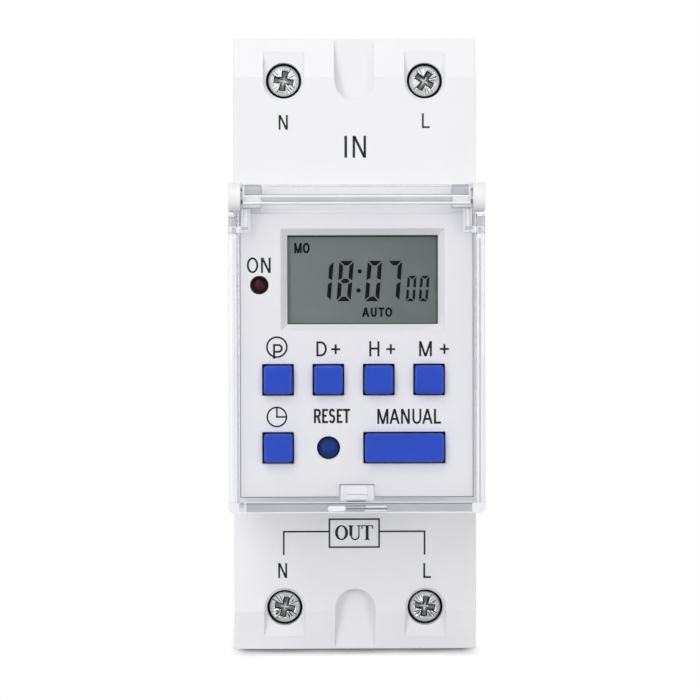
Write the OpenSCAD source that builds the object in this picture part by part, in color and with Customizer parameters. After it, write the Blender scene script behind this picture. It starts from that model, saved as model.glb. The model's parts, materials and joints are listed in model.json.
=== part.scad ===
// Two-module weekly timer for a 35 mm top-hat rail.
// Every piece is drawn with x to the right, y up and z out through the front, measured from the
// middle of the rail seat, and is then stood up so that y becomes +Z and the front faces -Y.

/* [Housing] */
// Width of the two shells
body_w = 35; // [34:0.5:35.5]
// Height of the two shells
body_h = 88.5; // [88:0.25:91]
// Depth from the rail seat to the flat shoulders
shoulder_d = 44; // [43.5:0.25:46]
// Wall of the two shells
wall = 1.8; // [1.6:0.1:2]
// Depth of the front shell, from its seam to the flat shoulders
seam_rise = 20; // [19.75:0.25:22]
// Length of the slope at each end of the shoulders
slope_len = 5.55; // [4.5:0.05:6.5]
// Fall of the shoulder over that slope
slope_drop = 1.6; // [1.3:0.1:2]
// Height of the lip that centres one shell in the other
lip_h = 2; // [1:0.25:2.25]
// Thickness of that lip
lip_t = 0.8; // [0.6:0.05:0.9]
// Distance of the snap tongues from the middle of the body
snap_y = 20; // [16:1:22]
// Width of a snap tongue
snap_w = 4.6; // [4:0.2:6]

/* [Rail foot] */
// Width of the rail that the foot takes
rail_w = 35; // [34.5:0.1:35.5]
// Thickness of the rail's flange
rail_t = 1; // [1:0.1:1.3]
// Depth of the feet behind the rail seat
foot_d = 5.5; // [5.5:0.25:6.5]
// Length of each end over which its foot slopes forwards
foot_slope_l = 10.25; // [9:0.25:11]
// Depth at which that slope meets the end wall
foot_slope_d = 4; // [3:0.5:6]
// How far each hook reaches under the rail
hook_reach = 1.3; // [1:0.1:1.6]
// Thickness of the fixed hook
hook_t = 2.2; // [1.8:0.1:2.6]
// Depth of the relief behind each hook
relief_d = 0.6; // [0.4:0.1:0.8]

/* [Rail clip] */
// Width of the sliding clip
clip_w = 11; // [10:0.5:12]
// Thickness of the clip
clip_t = 3.2; // [2.8:0.1:3.4]
// Width of each guide flange of the clip
clip_flange = 1.2; // [0.8:0.1:1.6]
// Set-back of the clip's lower end from the end of the shells
clip_set_back = 0.75; // [0.25:0.25:3]
// Travel of the clip when it is pulled
clip_travel = 3; // [2.5:0.25:3.25]
// Running gap of the clip in its groove
clip_gap = 0.2; // [0.15:0.05:0.3]
// Outer diameter of the return spring
spring_od = 3.2; // [2.6:0.1:3.2]
// Wire of the return spring
spring_wire = 0.4; // [0.3:0.05:0.5]
// Turns of the return spring
spring_turns = 7; // [5:1:8]
// Length of the return spring
spring_len = 7.5; // [7:0.25:8]

/* [Raised front] */
// Set-back of the raised front from the sides of the shells
front_inset = 1.05; // [1:0.05:1.5]
// Height of its upper edge above the rail axis
front_top = 22.6; // [22:0.1:24]
// Height of its lower edge below the rail axis
front_bottom = 21.1; // [20.8:0.1:22]
// Height of the face above the shoulders
face_rise = 13.4; // [13:0.1:13.6]
// Wall of the raised front
front_wall = 1.5; // [1.2:0.1:1.7]
// Thickness of the face plate
face_t = 1.6; // [1.4:0.1:1.8]
// Height of the hinge band above the face plate
band_h = 3.7; // [3.5:0.1:4]
// Set-back of the hinge band behind the face
band_drop = 1.2; // [1.1:0.1:1.5]

/* [Display window] */
// Distance of the window from the left side of the face
window_left = 6.7; // [6.5:0.05:7.4]
// Distance of the window from the right side of the face
window_right = 4.95; // [4.75:0.05:5.9]
// Distance of the window from the top of the face
window_top = 3.05; // [3:0.05:4.5]
// Height of the window
window_h = 12.55; // [10:0.05:12.8]
// Width of the bevel round the window
bevel_w = 0.95; // [0.6:0.05:1.1]
// Depth of that bevel
bevel_d = 1; // [0.6:0.1:1.2]
// Overlap of the glass behind the window
glass_lap = 1.25; // [1:0.05:1.4]
// Thickness of the display glass
glass_t = 2.4; // [2:0.1:2.8]
// Wall of the display holder
holder_wall = 0.8; // [0.6:0.05:0.9]

/* [Keys] */
// Side of a square key hole
key_hole = 4.47; // [4:0.01:4.8]
// Width of the wide key hole
wide_hole = 11.6; // [11:0.1:12]
// Radius of the round reset hole
reset_hole_r = 1.64; // [1.4:0.02:1.9]
// Gap round each key
key_gap = 0.15; // [0.1:0.01:0.2]
// How far the keys stand out of the face
key_proud = 1.1; // [0.8:0.1:1.2]
// How far the reset key lies below the face
reset_sink = 0.5; // [0.3:0.1:0.7]
// Key travel
key_travel = 0.5; // [0.3:0.05:0.6]
// Distance of the left keys from the left side of the face
key_left = 5.35; // [5.25:0.05:5.6]
// Distance of the right keys from the right side of the face
key_right = 6.25; // [6:0.05:6.6]
// Upper row of keys
key_row_1 = -4.5; // [-4.7:0.1:-4.4]
// Lower row of keys
key_row_2 = -14.1; // [-14.3:0.1:-14]
// Distance of the middle of the wide key from the right side of the face
wide_right = 9.75; // [9.5:0.05:10.4]
// Distance of the status light from the left side of the face
led_left = 2.75; // [2.75:0.05:3.1]
// Middle of the status light up the face
led_y = 8.85; // [7:0.05:10]
// Radius of the status light
led_r = 1.16; // [1:0.02:1.2]

/* [Cover] */
// How far the cover and the hinge ears stand out beyond each side of the shells
cover_side = 0.5; // [0.4:0.05:0.7]
// Height of the cover's front above the face
cover_rise = 3.1; // [2.9:0.1:3.6]
// Depth of the cover's side walls
cover_skirt = 6.5; // [5:0.5:8]
// Thickness of the cover's front sheet
sheet_t = 1.1; // [0.9:0.05:1.2]
// Gap between the cover and the sides of the raised front
cover_gap = 0.25; // [0.15:0.05:0.3]
// Gap between the lower edge of the face and the cover
latch_gap = 0.95; // [0.8:0.05:1.2]
// Radius of the cover's lower corners
cover_corner = 1.2; // [0.6:0.1:2]
// Radius of the hinge ears
ear_r = 2.05; // [1.95:0.05:2.1]
// How far each hinge ear is set into the side of the raised front
ear_lap = 0.15; // [0.1:0.05:0.3]
// Radius of the hinge barrel
barrel_r = 1.75; // [1.6:0.05:1.8]
// Radius of the hinge pins
pin_r = 0.8; // [0.6:0.05:0.9]
// Length of each full knuckle of the barrel
knuckle_len = 2.75; // [2:0.25:4]
// Width of the latch hook
latch_w = 3; // [2.4:0.1:3.6]
// Width of the latch notch
notch_w = 4.9; // [4.4:0.1:5.4]
// Width of the thumb lip
thumb_w = 8.8; // [7:0.2:11]

/* [Terminals] */
// Distance of the terminal screws from the sides of the shells
screw_side = 7.3; // [7.2:0.05:7.5]
// Distance of the terminal screws from the ends of the shells
screw_end = 6.05; // [5.95:0.05:6.25]
// Radius of a screw head
head_r = 2.2; // [1.9:0.05:2.3]
// Height of a screw head
head_h = 1.4; // [1.2:0.1:1.6]
// Radius of a screw shank
shank_r = 1.5; // [1.25:0.05:1.6]
// Clearance between a screw head and its bore
head_gap = 0.38; // [0.25:0.01:0.4]
// Depth of a screw head below the channel floor
head_sink = 0.95; // [0.7:0.05:1.2]
// Depth of the screwdriver channels
channel_d = 1.05; // [0.9:0.05:1.2]
// Thickness of the ledge under a screw head
ledge_t = 1.1; // [0.9:0.1:1.3]
// Radius of the centre notches
centre_notch_r = 2.86; // [2.4:0.02:3]
// Depth of the centre notches
centre_notch_d = 1.55; // [1.2:0.05:1.6]
// Length of the centre notches
centre_notch_l = 8.85; // [7:0.05:9.25]
// Width of a terminal cage
cage_w = 8; // [7.6:0.1:8.2]
// Length of a terminal cage along the wire
cage_l = 7.2; // [6.4:0.1:7.4]
// Side wall of a terminal cage
cage_wall = 1; // [0.8:0.05:1.1]
// Thickness of a cage's nut plate
nut_t = 1.5; // [1.3:0.1:1.7]
// Thickness of a cage's clamping floor
cage_floor = 1.4; // [1.2:0.1:1.6]
// Clear height for the wire
wire_gap = 5; // [4.8:0.1:5.2]
// Travel of a cage from open to closed
cage_travel = 4; // [3.4:0.1:4]
// Thickness of the terminal bars
bar_t = 1.2; // [1:0.1:1.3]
// Width of the terminal bars
bar_w = 5.6; // [4.8:0.1:5.6]

/* [Boards] */
// Thickness of both circuit boards
pcb_t = 1.6; // [1:0.1:1.8]
// Lift of the power board above the rear wall
power_lift = 6.2; // [5.5:0.1:7]
// Gap between the power board and each side wall
power_side = 0.9; // [0.5:0.1:1.7]
// Gap between the power board and each end wall
power_end = 6.95; // [5.45:0.25:7.45]
// Space between the face plate and the display board
display_gap = 6.2; // [5.9:0.1:6.4]
// Gap between the display board and each side of the raised front
display_side = 0.35; // [0.15:0.05:0.7]
// Space between neighbouring key switches
switch_space = 1.1; // [0.9:0.1:2.1]
// Height of a key switch
switch_h = 3.5; // [3:0.1:3.6]
// Radius of a switch stem
stem_r = 1.7; // [1.4:0.1:2]
// Radius of the backup cell
cell_r = 7.8; // [6:0.1:7.8]
// Height of the backup cell
cell_h = 5.4; // [4:0.1:5.4]
// Width of the ribbon between the boards
ribbon_w = 6.2; // [5:0.2:7]

/* [Parts on the power board] */
// Gap between the relay and the left edge of its board
relay_left = 6.45; // [6.25:0.05:8]
// Gap between the relay and the right edge
relay_right = 10.45; // [10.25:0.05:12]
// Gap between the relay and the lower edge
relay_end = 5; // [4.5:0.25:8]
// Distance of the relay below the middle of the board
relay_mid = 1.5; // [1.25:0.25:3]
// Height of the relay
relay_h = 15.5; // [12:0.5:16]
// Gap between the film capacitor and the left edge of its board
film_left = 5.3; // [5.1:0.1:8]
// Gap between the film capacitor and the right edge
film_right = 7.3; // [7:0.1:9]
// Gap between the film capacitor and the upper edge
film_end = 9.25; // [9:0.25:10]
// Thickness of the film capacitor
film_t = 8.5; // [6:0.5:9]
// Height of the film capacitor
film_h = 14.8; // [12:0.2:16]
// Radius of the smoothing capacitor
smooth_r = 4; // [3:0.25:4.25]
// Height of the smoothing capacitor
smooth_h = 12; // [9:0.5:14]
// Radius of a rectifier diode
diode_r = 1.35; // [1:0.05:1.5]
// Length of a rectifier diode
diode_l = 5.2; // [4:0.1:5.4]
// Radius of a resistor
resistor_r = 1.15; // [0.9:0.05:1.3]
// Length of a resistor
resistor_l = 6.3; // [5:0.1:6.8]
// Radius of the driver transistor
transistor_r = 2.3; // [2:0.1:2.4]
// Height of the driver transistor's body
transistor_h = 4.8; // [4:0.1:5.2]
// Radius of the varistor
varistor_r = 5; // [3.5:0.25:5]
// Thickness of the varistor
varistor_t = 3.6; // [3:0.1:3.8]

/* [Hidden] */

$fn = 48;
eps = 0.01;
// Clearances
seat_gap = 0.1;
run_gap = 0.05;
free_gap = 0.3;
lip_gap = 0.1;
// Shells
half_w = body_w / 2;
half_h = body_h / 2;
in_w = half_w - wall;
in_h = half_h - wall;
seam_d = shoulder_d - seam_rise;
// Raised front
front_w = body_w - 2 * front_inset;
half_front = front_w / 2;
front_in_x = half_front - front_wall;
band_wall = 0.7;
face_d = shoulder_d + face_rise;
face_back = face_d - face_t;
face_top = front_top - band_h;
band_z = face_d - band_drop;
// Keys and status light
key_x = key_left - half_front;
key_pitch = (front_w - key_left - key_right) / 3;
wide_x = half_front - wide_right;
led_x = led_left - half_front;
// Rail foot
foot_y = half_h - foot_slope_l;
channel_y = rail_w / 2 + free_gap;
hook_y = rail_w / 2 - hook_reach;
relief_y = hook_y - free_gap;
hook_z = -rail_t - free_gap;
foot_slope = (foot_slope_d + foot_d) / (half_h - foot_y);
foot_rise = wall * sqrt(1 + foot_slope * foot_slope);
function foot_in_z(y) = -foot_d + (y - foot_y) * foot_slope + foot_rise;
function foot_in_y(z) = foot_y + (z + foot_d - foot_rise) / foot_slope;
// Rail clip
clip_z0 = -foot_d + clip_gap;
clip_z1 = clip_z0 + clip_t;
clip_end = half_h - clip_set_back;
flange_t = 1.2;
flange_z = clip_z1 - flange_t;
clip_hook_z = -rail_t - clip_gap;
clip_hook_l = 4.8;
hook_root = -hook_y - clip_hook_l;
clip_x = clip_w / 2;
flange_x = clip_x + clip_flange;
spring_y1 = -(channel_y + 5.6);
spring_y0 = spring_y1 - spring_len;
peg_h = 2;
spring_z = (clip_z0 + clip_z1) / 2;
spring_slot_x = spring_od / 2 + 0.6;
// Display
window_x0 = window_left - half_front;
window_x1 = half_front - window_right;
window_y1 = face_top - window_top;
window_y0 = window_y1 - window_h;
glass_x0 = window_x0 - glass_lap;
glass_x1 = window_x1 + glass_lap;
glass_y0 = window_y0 - glass_lap;
glass_y1 = window_y1 + glass_lap;
glass_z1 = face_back - seat_gap;
glass_z0 = glass_z1 - glass_t;
ledge_w = glass_lap;
zebra_w = 1.5;
// Display board and keys
display_z1 = face_back - display_gap;
display_z0 = display_z1 - pcb_t;
display_y0 = -(front_bottom - front_wall - free_gap);
display_y1 = glass_y1 + holder_wall + free_gap;
display_w = 2 * (front_in_x - display_side);
display_boss_x = front_in_x - 1.95;
display_boss_y = (key_row_1 + key_row_2) / 2;
small_boss_x = 1.55 - front_in_x;
display_screw_r = 1.4;
DISPLAY_BOSSES = [
    [display_boss_x, display_boss_y, 1.7],
    [-display_boss_x, display_boss_y, 1.7],
    [small_boss_x, face_top - 3.3, 1.4],
];
crystal_x = display_w / 2 - 3.4;
crystal_y = 4;
crystal_pin_x = 0.4;
crystal_pin_r = 0.15;
led_leg_y = 0.6;
led_leg_r = 0.25;
switch_w = key_pitch - switch_space;
switch_z1 = display_z1 + switch_h;
stem_top = switch_z1 + 1.2;
stem_in = key_travel + 0.1;
flange_top = face_back - clip_gap;
key_flange_t = 0.7;
key_flange = 0.6;
// Cover
cover_w = body_w + 2 * cover_side;
cover_d = face_d + cover_rise;
hinge_y = front_top - 1.4;
hinge_z = cover_d - ear_r;
ear_x = half_front - ear_lap;
ear_w = cover_w / 2 - ear_x;
barrel_x = ear_x - cover_gap;
cover_in_x = half_front + cover_gap;
cover_in_z = cover_d - sheet_t;
cover_y0 = -(front_bottom + latch_gap + sheet_t);
cover_y1 = hinge_y - ear_r - free_gap;
skirt_z = cover_d - cover_skirt;
notch_h = 1.8;
rib_w = 1.1;
rib_l = 2.7;
rib_drop = 1.5;
// Terminals
screw_x = half_w - screw_side;
screw_y = half_h - screw_end;
centre_notch_y = half_h - centre_notch_l;
channel_z = shoulder_d - channel_d;
head_z1 = channel_z - head_sink;
head_z0 = head_z1 - head_h;
ledge_z1 = head_z0 - seat_gap;
ledge_z0 = ledge_z1 - ledge_t;
bore_r = head_r + head_gap;
channel_r = bore_r + 0.35;
boss_r = bore_r + 1.3;
cage_z1 = ledge_z0 - free_gap - cage_travel;
bar_z1 = cage_z1 - nut_t - 0.6;
bar_z0 = bar_z1 - bar_t;
cage_in_z = bar_z0 - wire_gap;
cage_z0 = cage_in_z - cage_floor;
guide_gap = 0.25;
guide_t = 1.1;
guide_x = cage_w / 2 + guide_gap;
guide_y = screw_y - cage_l / 2 - guide_gap;
bar_leg_y = guide_y - guide_t - 0.9;
entry_w = cage_w - 2 * cage_wall;
// Boards
power_z0 = wall + power_lift;
power_z1 = power_z0 + pcb_t;
power_w = 2 * (in_w - power_side);
power_l = 2 * (in_h - power_end);
power_edge = 2.6;
power_boss_x = power_w / 2 - power_edge;
power_boss_y = 14;
POWER_BOSSES = [for (x = [1, -1]) for (y = [1, -1]) [x * power_boss_x, y * power_boss_y]];
standoff = 0.5;
axial_gap = 0.7;
smooth_x = power_w / 2 - smooth_r - 1.5;
smooth_y = 5.5;
ribbon_x = power_w / 2 - 4.8;
ribbon_y0 = -26;
ribbon_y1 = ribbon_y0 + 10.5;

KEYS = [
    ["program", "square", key_x, key_row_1],
    ["day", "square", key_x + key_pitch, key_row_1],
    ["hour", "square", key_x + 2 * key_pitch, key_row_1],
    ["minute", "square", key_x + 3 * key_pitch, key_row_1],
    ["clock", "square", key_x, key_row_2],
    ["manual", "wide", wide_x, key_row_2],
    ["reset", "round", key_x + key_pitch, key_row_2],
];
TERMINALS = [["in_n", -1, 1], ["in_l", 1, 1], ["out_n", -1, -1], ["out_l", 1, -1]];

// ---------------------------------------------------------------- shapes used by many pieces

// Stands a piece up: its y becomes +Z and its front faces -Y
module stand() { rotate([90, 0, 0]) children(); }

// A box from one corner to the other
module block(a, b) { translate(a) cube(b - a); }

// An outline in y and z, drawn out along x about the middle
module across(w) { rotate([90, 0, 90]) linear_extrude(w, center = true) children(); }

// A flat rectangle from one corner to the other
module panel(a, b) { translate(a) square(b - a); }

// A rod along x
module rod_x(r, x0, x1) { translate([x0, 0, 0]) rotate([0, 90, 0]) cylinder(r = r, h = x1 - x0); }

// A rod along y
module rod_y(r, y0, y1) { translate([0, y0, 0]) rotate([-90, 0, 0]) cylinder(r = r, h = y1 - y0); }

// A copy at each of the four terminals, mirrored so that its own end wall is at +y
module at_terminals() {
    for (t = TERMINALS) scale([t[1], t[2], 1]) translate([screw_x, screw_y, 0]) children();
}

// A copy at both ends of the body
module at_ends() {
    children();
    mirror([0, 1, 0]) children();
}

// The same on the left and right
module at_sides() {
    children();
    mirror([1, 0, 0]) children();
}

// ---------------------------------------------------------------- housing shells

module rear_outline() {
    polygon([
        [-half_h, seam_d], [-half_h, foot_slope_d], [-foot_y, -foot_d], [-channel_y, -foot_d],
        [-channel_y, relief_d], [-relief_y, relief_d], [-relief_y, 0], [relief_y, 0],
        [relief_y, relief_d], [channel_y, relief_d], [channel_y, hook_z], [hook_y, hook_z],
        [hook_y, hook_z - hook_t + 0.8], [hook_y + 0.8, hook_z - hook_t],
        [channel_y, hook_z - hook_t], [channel_y, -foot_d], [foot_y, -foot_d],
        [half_h, foot_slope_d], [half_h, seam_d],
    ]);
}

// Full-width hollow, with the upper foot cored out
module rear_hollow_outline() {
    polygon([
        [-in_h, seam_d + 1], [-in_h, foot_in_z(in_h)], [-foot_in_y(wall), wall],
        [channel_y + wall, wall], [channel_y + wall, wall - foot_d],
        [foot_in_y(wall - foot_d), wall - foot_d], [in_h, foot_in_z(in_h)], [in_h, seam_d + 1],
    ]);
}

// Hollow in the lower foot, beside the groove of the rail clip
module lower_foot_outline() {
    polygon([
        [-foot_in_y(wall + eps), wall + eps], [-foot_in_y(wall - foot_d), wall - foot_d],
        [-channel_y - wall, wall - foot_d], [-channel_y - wall, wall + eps],
    ]);
}

// Undercut groove that the rail clip slides in
module clip_groove() {
    neck = clip_x + clip_gap;
    undercut = flange_x + clip_gap;
    y1 = -channel_y + eps;
    block([-neck, -half_h, -foot_d - 1], [neck, y1, flange_z]);
    block([-undercut, -half_h, flange_z - clip_gap], [undercut, y1, clip_z1 + clip_gap]);
    block([-neck, hook_root - clip_travel - clip_gap, flange_z], [neck, y1, clip_hook_z + clip_gap]);
}

// Peg that the return spring pushes on
module spring_peg() {
    peg_x = spring_slot_x - free_gap;
    block([-peg_x, spring_y0 - peg_h, -foot_d + 0.5], [peg_x, spring_y0, clip_z1 + 2 * clip_gap]);
}

module snap_window() {
    window = snap_w / 2 + lip_gap + 0.2;
    block([in_w - 1, snap_y - window, seam_d - 4.4], [half_w + 1, snap_y + window, seam_d - 2.2]);
}

module lip(grow) {
    x = in_w + lip_t + grow;
    y = in_h + lip_t + grow;
    difference() {
        block([-x, -y, seam_d - eps], [x, y, seam_d + lip_h + grow]);
        block([-in_w, -in_h, seam_d - 1], [in_w, in_h, seam_d + lip_h + 1]);
    }
}

module rear_housing() {
    color("gainsboro") stand() {
        difference() {
            across(body_w) rear_outline();
            across(2 * in_w) rear_hollow_outline();
            at_sides() translate([(in_w + flange_x + wall) / 2, 0, 0])
                across(in_w - flange_x - wall) lower_foot_outline();
            clip_groove();
            at_sides() at_ends() snap_window();
        }
        lip(0);
        spring_peg();
        for (b = POWER_BOSSES) translate([b[0], b[1], wall - eps]) difference() {
            cylinder(r = 2.4, h = power_lift + eps);
            translate([0, 0, 1]) cylinder(r = 1.25, h = power_lift);
        }
    }
}

module front_outline() {
    polygon([
        [-half_h, seam_d], [-half_h, shoulder_d - slope_drop], [slope_len - half_h, shoulder_d],
        [half_h - slope_len, shoulder_d], [half_h, shoulder_d - slope_drop], [half_h, seam_d],
    ]);
}

module front_hollow_outline() {
    z1 = shoulder_d - wall;
    polygon([
        [-in_h, seam_d - 1], [-in_h, z1 - slope_drop], [slope_len - half_h, z1],
        [half_h - slope_len, z1], [in_h, z1 - slope_drop], [in_h, seam_d - 1],
    ]);
}

// Boss round a terminal screw, the floor under its channel and the guides of its cage
module terminal_chamber() {
    roof = shoulder_d - wall + eps;
    end = in_h - screw_y + eps;
    side = in_w - screw_x + eps;
    lip_clear = seam_d + lip_h + lip_gap + 0.2;
    inner = -cage_l / 2 - guide_gap;
    cylinder(r = boss_r, h = channel_z - ledge_z0);
    translate([0, 0, -ledge_z0]) {
        block([-boss_r, 0, channel_z - 1.5], [boss_r, end, channel_z]);
        block([-guide_x - guide_t, inner - guide_t, lip_clear], [-guide_x, end, roof]);
        block([guide_x, inner - guide_t, lip_clear], [side, end, roof]);
        block([-guide_x - guide_t, inner - guide_t, bar_z1 + free_gap], [side, inner, roof]);
    }
}

module hinge_ear() {
    across_x = ear_x + ear_w / 2;
    difference() {
        translate([across_x, 0, 0]) across(ear_w) union() {
            translate([hinge_y, hinge_z]) circle(r = ear_r, $fn = 72);
            translate([hinge_y - ear_r, shoulder_d]) square([2 * ear_r, hinge_z - shoulder_d]);
        }
        translate([0, hinge_y, hinge_z]) rod_x(pin_r + run_gap, ear_x - 1, cover_w / 2 + 1);
    }
}

// Tongue whose barb holds the rear shell
module snap_tongue() {
    x1 = in_w - lip_gap;
    x0 = x1 - 1;
    top = seam_d + lip_h + lip_gap;
    translate([0, snap_y + snap_w / 2, 0]) rotate([90, 0, 0]) linear_extrude(snap_w) polygon([
        [x0, seam_d - 5], [x1, seam_d - 5], [x1, seam_d - 4.2], [in_w + wall - 0.3, seam_d - 2.5],
        [x1, seam_d - 2.4], [x1, top + eps], [in_w + lip_t, top + eps], [in_w + lip_t, top + 2.5],
        [x0, top + 2.5],
    ]);
}

module front_housing() {
    color("whitesmoke") stand() difference() {
        union() {
            difference() {
                union() {
                    across(body_w) front_outline();
                    block([-half_front, -front_bottom, shoulder_d - 1],
                          [half_front, face_top, face_back]);
                    block([-half_front, face_top, shoulder_d - 1],
                          [half_front, front_top, band_z]);
                }
                across(2 * in_w) front_hollow_outline();
                block([-front_in_x, front_wall - front_bottom, seam_d],
                      [front_in_x, face_top - band_wall, face_d]);
                block([-front_in_x, front_wall - front_bottom, seam_d],
                      [front_in_x, front_top - front_wall, band_z - front_wall]);
                lip(lip_gap);
            }
            at_terminals() translate([0, 0, ledge_z0]) terminal_chamber();
            at_ends() block([-centre_notch_r - 1.3, centre_notch_y - 1.2, shoulder_d - 3],
                            [centre_notch_r + 1.3, in_h + eps, shoulder_d - centre_notch_d]);
            at_sides() hinge_ear();
            at_sides() at_ends() snap_tongue();
        }
        // Screwdriver channels, screw bores and wire entries
        at_terminals() {
            translate([0, 0, channel_z]) cylinder(r = channel_r, h = 3);
            block([-channel_r, 0, channel_z], [channel_r, body_h, channel_z + 3]);
            translate([0, 0, ledge_z1]) cylinder(r = bore_r, h = 5);
            translate([0, 0, ledge_z0 - 1]) cylinder(r = shank_r + guide_gap, h = 5);
            block([-entry_w / 2, cage_l / 2, cage_in_z], [entry_w / 2, body_h, bar_z0 + 0.4]);
        }
        // Centre notches
        at_ends() translate([0, centre_notch_y + centre_notch_r, shoulder_d - centre_notch_d]) {
            cylinder(r = centre_notch_r, h = 3, $fn = 72);
            block([-centre_notch_r, 0, 0], [centre_notch_r, body_h, 3]);
        }
        // Pocket for the latch hook of the cover
        latch_notch(2);
    }
}

// ---------------------------------------------------------------- face, display and keys

// Notch at the lower edge of the face, down to a depth below the face plate
module latch_notch(depth) {
    block([-notch_w / 2, -front_bottom - 1, face_back - depth],
          [notch_w / 2, notch_h - front_bottom, face_d + 1]);
}

// Tapered well round the display window, widest at the face
module window_well() {
    z0 = face_d - bevel_d;
    z1 = face_d + bevel_d;
    b = 2 * bevel_w;
    y_mid = (window_y0 + window_y1) / 2;
    intersection() {
        translate([0, y_mid + 15, 0]) rotate([90, 0, 0]) linear_extrude(30) polygon([
            [window_x0, z0], [window_x1, z0], [window_x1 + b, z1], [window_x0 - b, z1],
        ]);
        across(80) polygon([
            [window_y0, z0], [window_y1, z0], [window_y1 + b, z1], [window_y0 - b, z1],
        ]);
    }
}

// Outline of a key of the given shape, smaller than its hole by the gap
module key_outline(shape, gap) {
    w = shape == "wide" ? wide_hole : key_hole;
    if (shape == "round") circle(r = reset_hole_r - gap);
    else square([w - 2 * gap, key_hole - 2 * gap], center = true);
}

module face_plate() {
    color("white") stand() difference() {
        union() {
            block([-half_front, -front_bottom, face_back], [half_front, face_top, face_d]);
            for (b = DISPLAY_BOSSES) translate([b[0], b[1], display_z1])
                cylinder(r = b[2], h = display_gap + eps);
        }
        window_well();
        block([window_x0, window_y0, face_back - 1], [window_x1, window_y1, face_d]);
        translate([led_x, led_y, face_back - 1]) cylinder(r = led_r + key_gap, h = 4);
        for (k = KEYS) translate([k[2], k[3], face_back - 1])
            linear_extrude(4) key_outline(k[1], 0);
        latch_notch(1);
        for (b = DISPLAY_BOSSES) translate([b[0], b[1], display_z1 - 1])
            cylinder(r = 0.8 + run_gap, h = 5.5);
    }
}

module lcd_glass() {
    color("slategray") stand() block([glass_x0, glass_y0, glass_z0], [glass_x1, glass_y1, glass_z1]);
}

module lcd_holder() {
    x0 = glass_x0 - seat_gap;
    x1 = glass_x1 + seat_gap;
    y0 = glass_y0 - seat_gap;
    y1 = glass_y1 + seat_gap;
    t = holder_wall;
    shelf = glass_z0 - seat_gap;
    color("white") stand() difference() {
        block([x0 - t, y0 - t, display_z1], [x1 + t, y1 + t, glass_z1]);
        block([x0, y0, shelf], [x1, y1, face_d]);
        block([x0 + ledge_w, y0, display_z1 - 1], [x1 - ledge_w, y1, face_d]);
    }
}

module zebra_strips() {
    x0 = glass_x0 + ledge_w;
    x1 = glass_x1 - ledge_w;
    color("lightpink") stand() {
        block([x0, glass_y0, display_z1], [x1, glass_y0 + zebra_w, glass_z0]);
        block([x0, glass_y1 - zebra_w, display_z1], [x1, glass_y1, glass_z0]);
    }
}

module display_board() {
    color("darkgreen") stand() difference() {
        block([-display_w / 2, display_y0, display_z0], [display_w / 2, display_y1, display_z1]);
        for (b = DISPLAY_BOSSES) translate([b[0], b[1], display_z0 - 1]) cylinder(r = 1, h = 4);
        // Holes for the leads of the crystal and of the status light
        for (x = [-1, 1]) translate([crystal_x + x * crystal_pin_x, crystal_y - 1.4, display_z0 - 1])
            cylinder(r = crystal_pin_r + seat_gap, h = 4);
        for (y = [-1, 1]) translate([led_x, led_y + y * led_leg_y, display_z0 - 1])
            cylinder(r = led_leg_r + seat_gap, h = 4);
    }
}

// Black resin blob over the clock chip
module clock_chip() {
    cap_r = 4.5;
    cap_h = 1.3;
    ball_r = (cap_r * cap_r + cap_h * cap_h) / (2 * cap_h);
    color("black") stand() translate([3, 8, display_z0]) mirror([0, 0, 1]) rotate_extrude()
        intersection() {
            translate([0, cap_h - ball_r]) circle(r = ball_r, $fn = 96);
            square([cap_r, cap_h]);
        }
}

module crystal() {
    can_r = 1;
    can_l = 6;
    color("silver") stand() translate([crystal_x, crystal_y, display_z0 - can_r]) {
        rod_y(can_r, 0, can_l);
        for (x = [-1, 1]) translate([x * crystal_pin_x, 0, 0]) {
            rod_y(crystal_pin_r, -1.5, eps);
            translate([0, -1.4, 0]) cylinder(r = crystal_pin_r, h = can_r + pcb_t);
        }
    }
}

module backup_cell() {
    tab_t = 0.25;
    z1 = display_z0 - tab_t;
    x = display_screw_r + free_gap + cell_r - display_boss_x;
    y = display_y0 + cell_r + 1.9;
    color("silver") stand() translate([x, y, 0]) {
        translate([0, 0, z1 - cell_h]) cylinder(r = cell_r, h = cell_h, $fn = 72);
        block([-1.5, -2, z1 - eps], [1.5, cell_r + 2, display_z0]);
        block([-1.5, -cell_r - 0.8, z1 - cell_h - tab_t], [1.5, 2, z1 - cell_h + eps]);
        block([-1.5, -cell_r - 0.8, z1 - cell_h - tab_t], [1.5, -cell_r - 0.55, display_z0]);
    }
}

module status_led() {
    color("darkred") stand() translate([led_x, led_y, 0]) {
        intersection() {
            translate([0, 0, display_z1 + 2.4]) cylinder(r = led_r, h = display_gap + face_t - 2.3);
            union() {
                translate([0, 0, face_d - led_r]) sphere(r = led_r);
                block([-2, -2, display_z1], [2, 2, face_d - led_r]);
            }
        }
        for (y = [-1, 1]) translate([0, y * led_leg_y, display_z0 - 0.8])
            cylinder(r = led_leg_r, h = pcb_t + 3.2 + eps);
    }
}

module tact_switches() {
    well = stem_in + stem_top - switch_z1;
    color("dimgray") stand() for (k = KEYS) translate([k[2], k[3], 0]) difference() {
        block([-switch_w / 2, -switch_w / 2, display_z1], [switch_w / 2, switch_w / 2, switch_z1]);
        translate([0, 0, switch_z1 - stem_in - 0.6]) cylinder(r = stem_r + seat_gap, h = well);
    }
}

module switch_stem(k) {
    color("black") stand() translate([k[2], k[3], switch_z1 - 0.5])
        cylinder(r = stem_r, h = stem_top - switch_z1 + 0.5);
}

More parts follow.
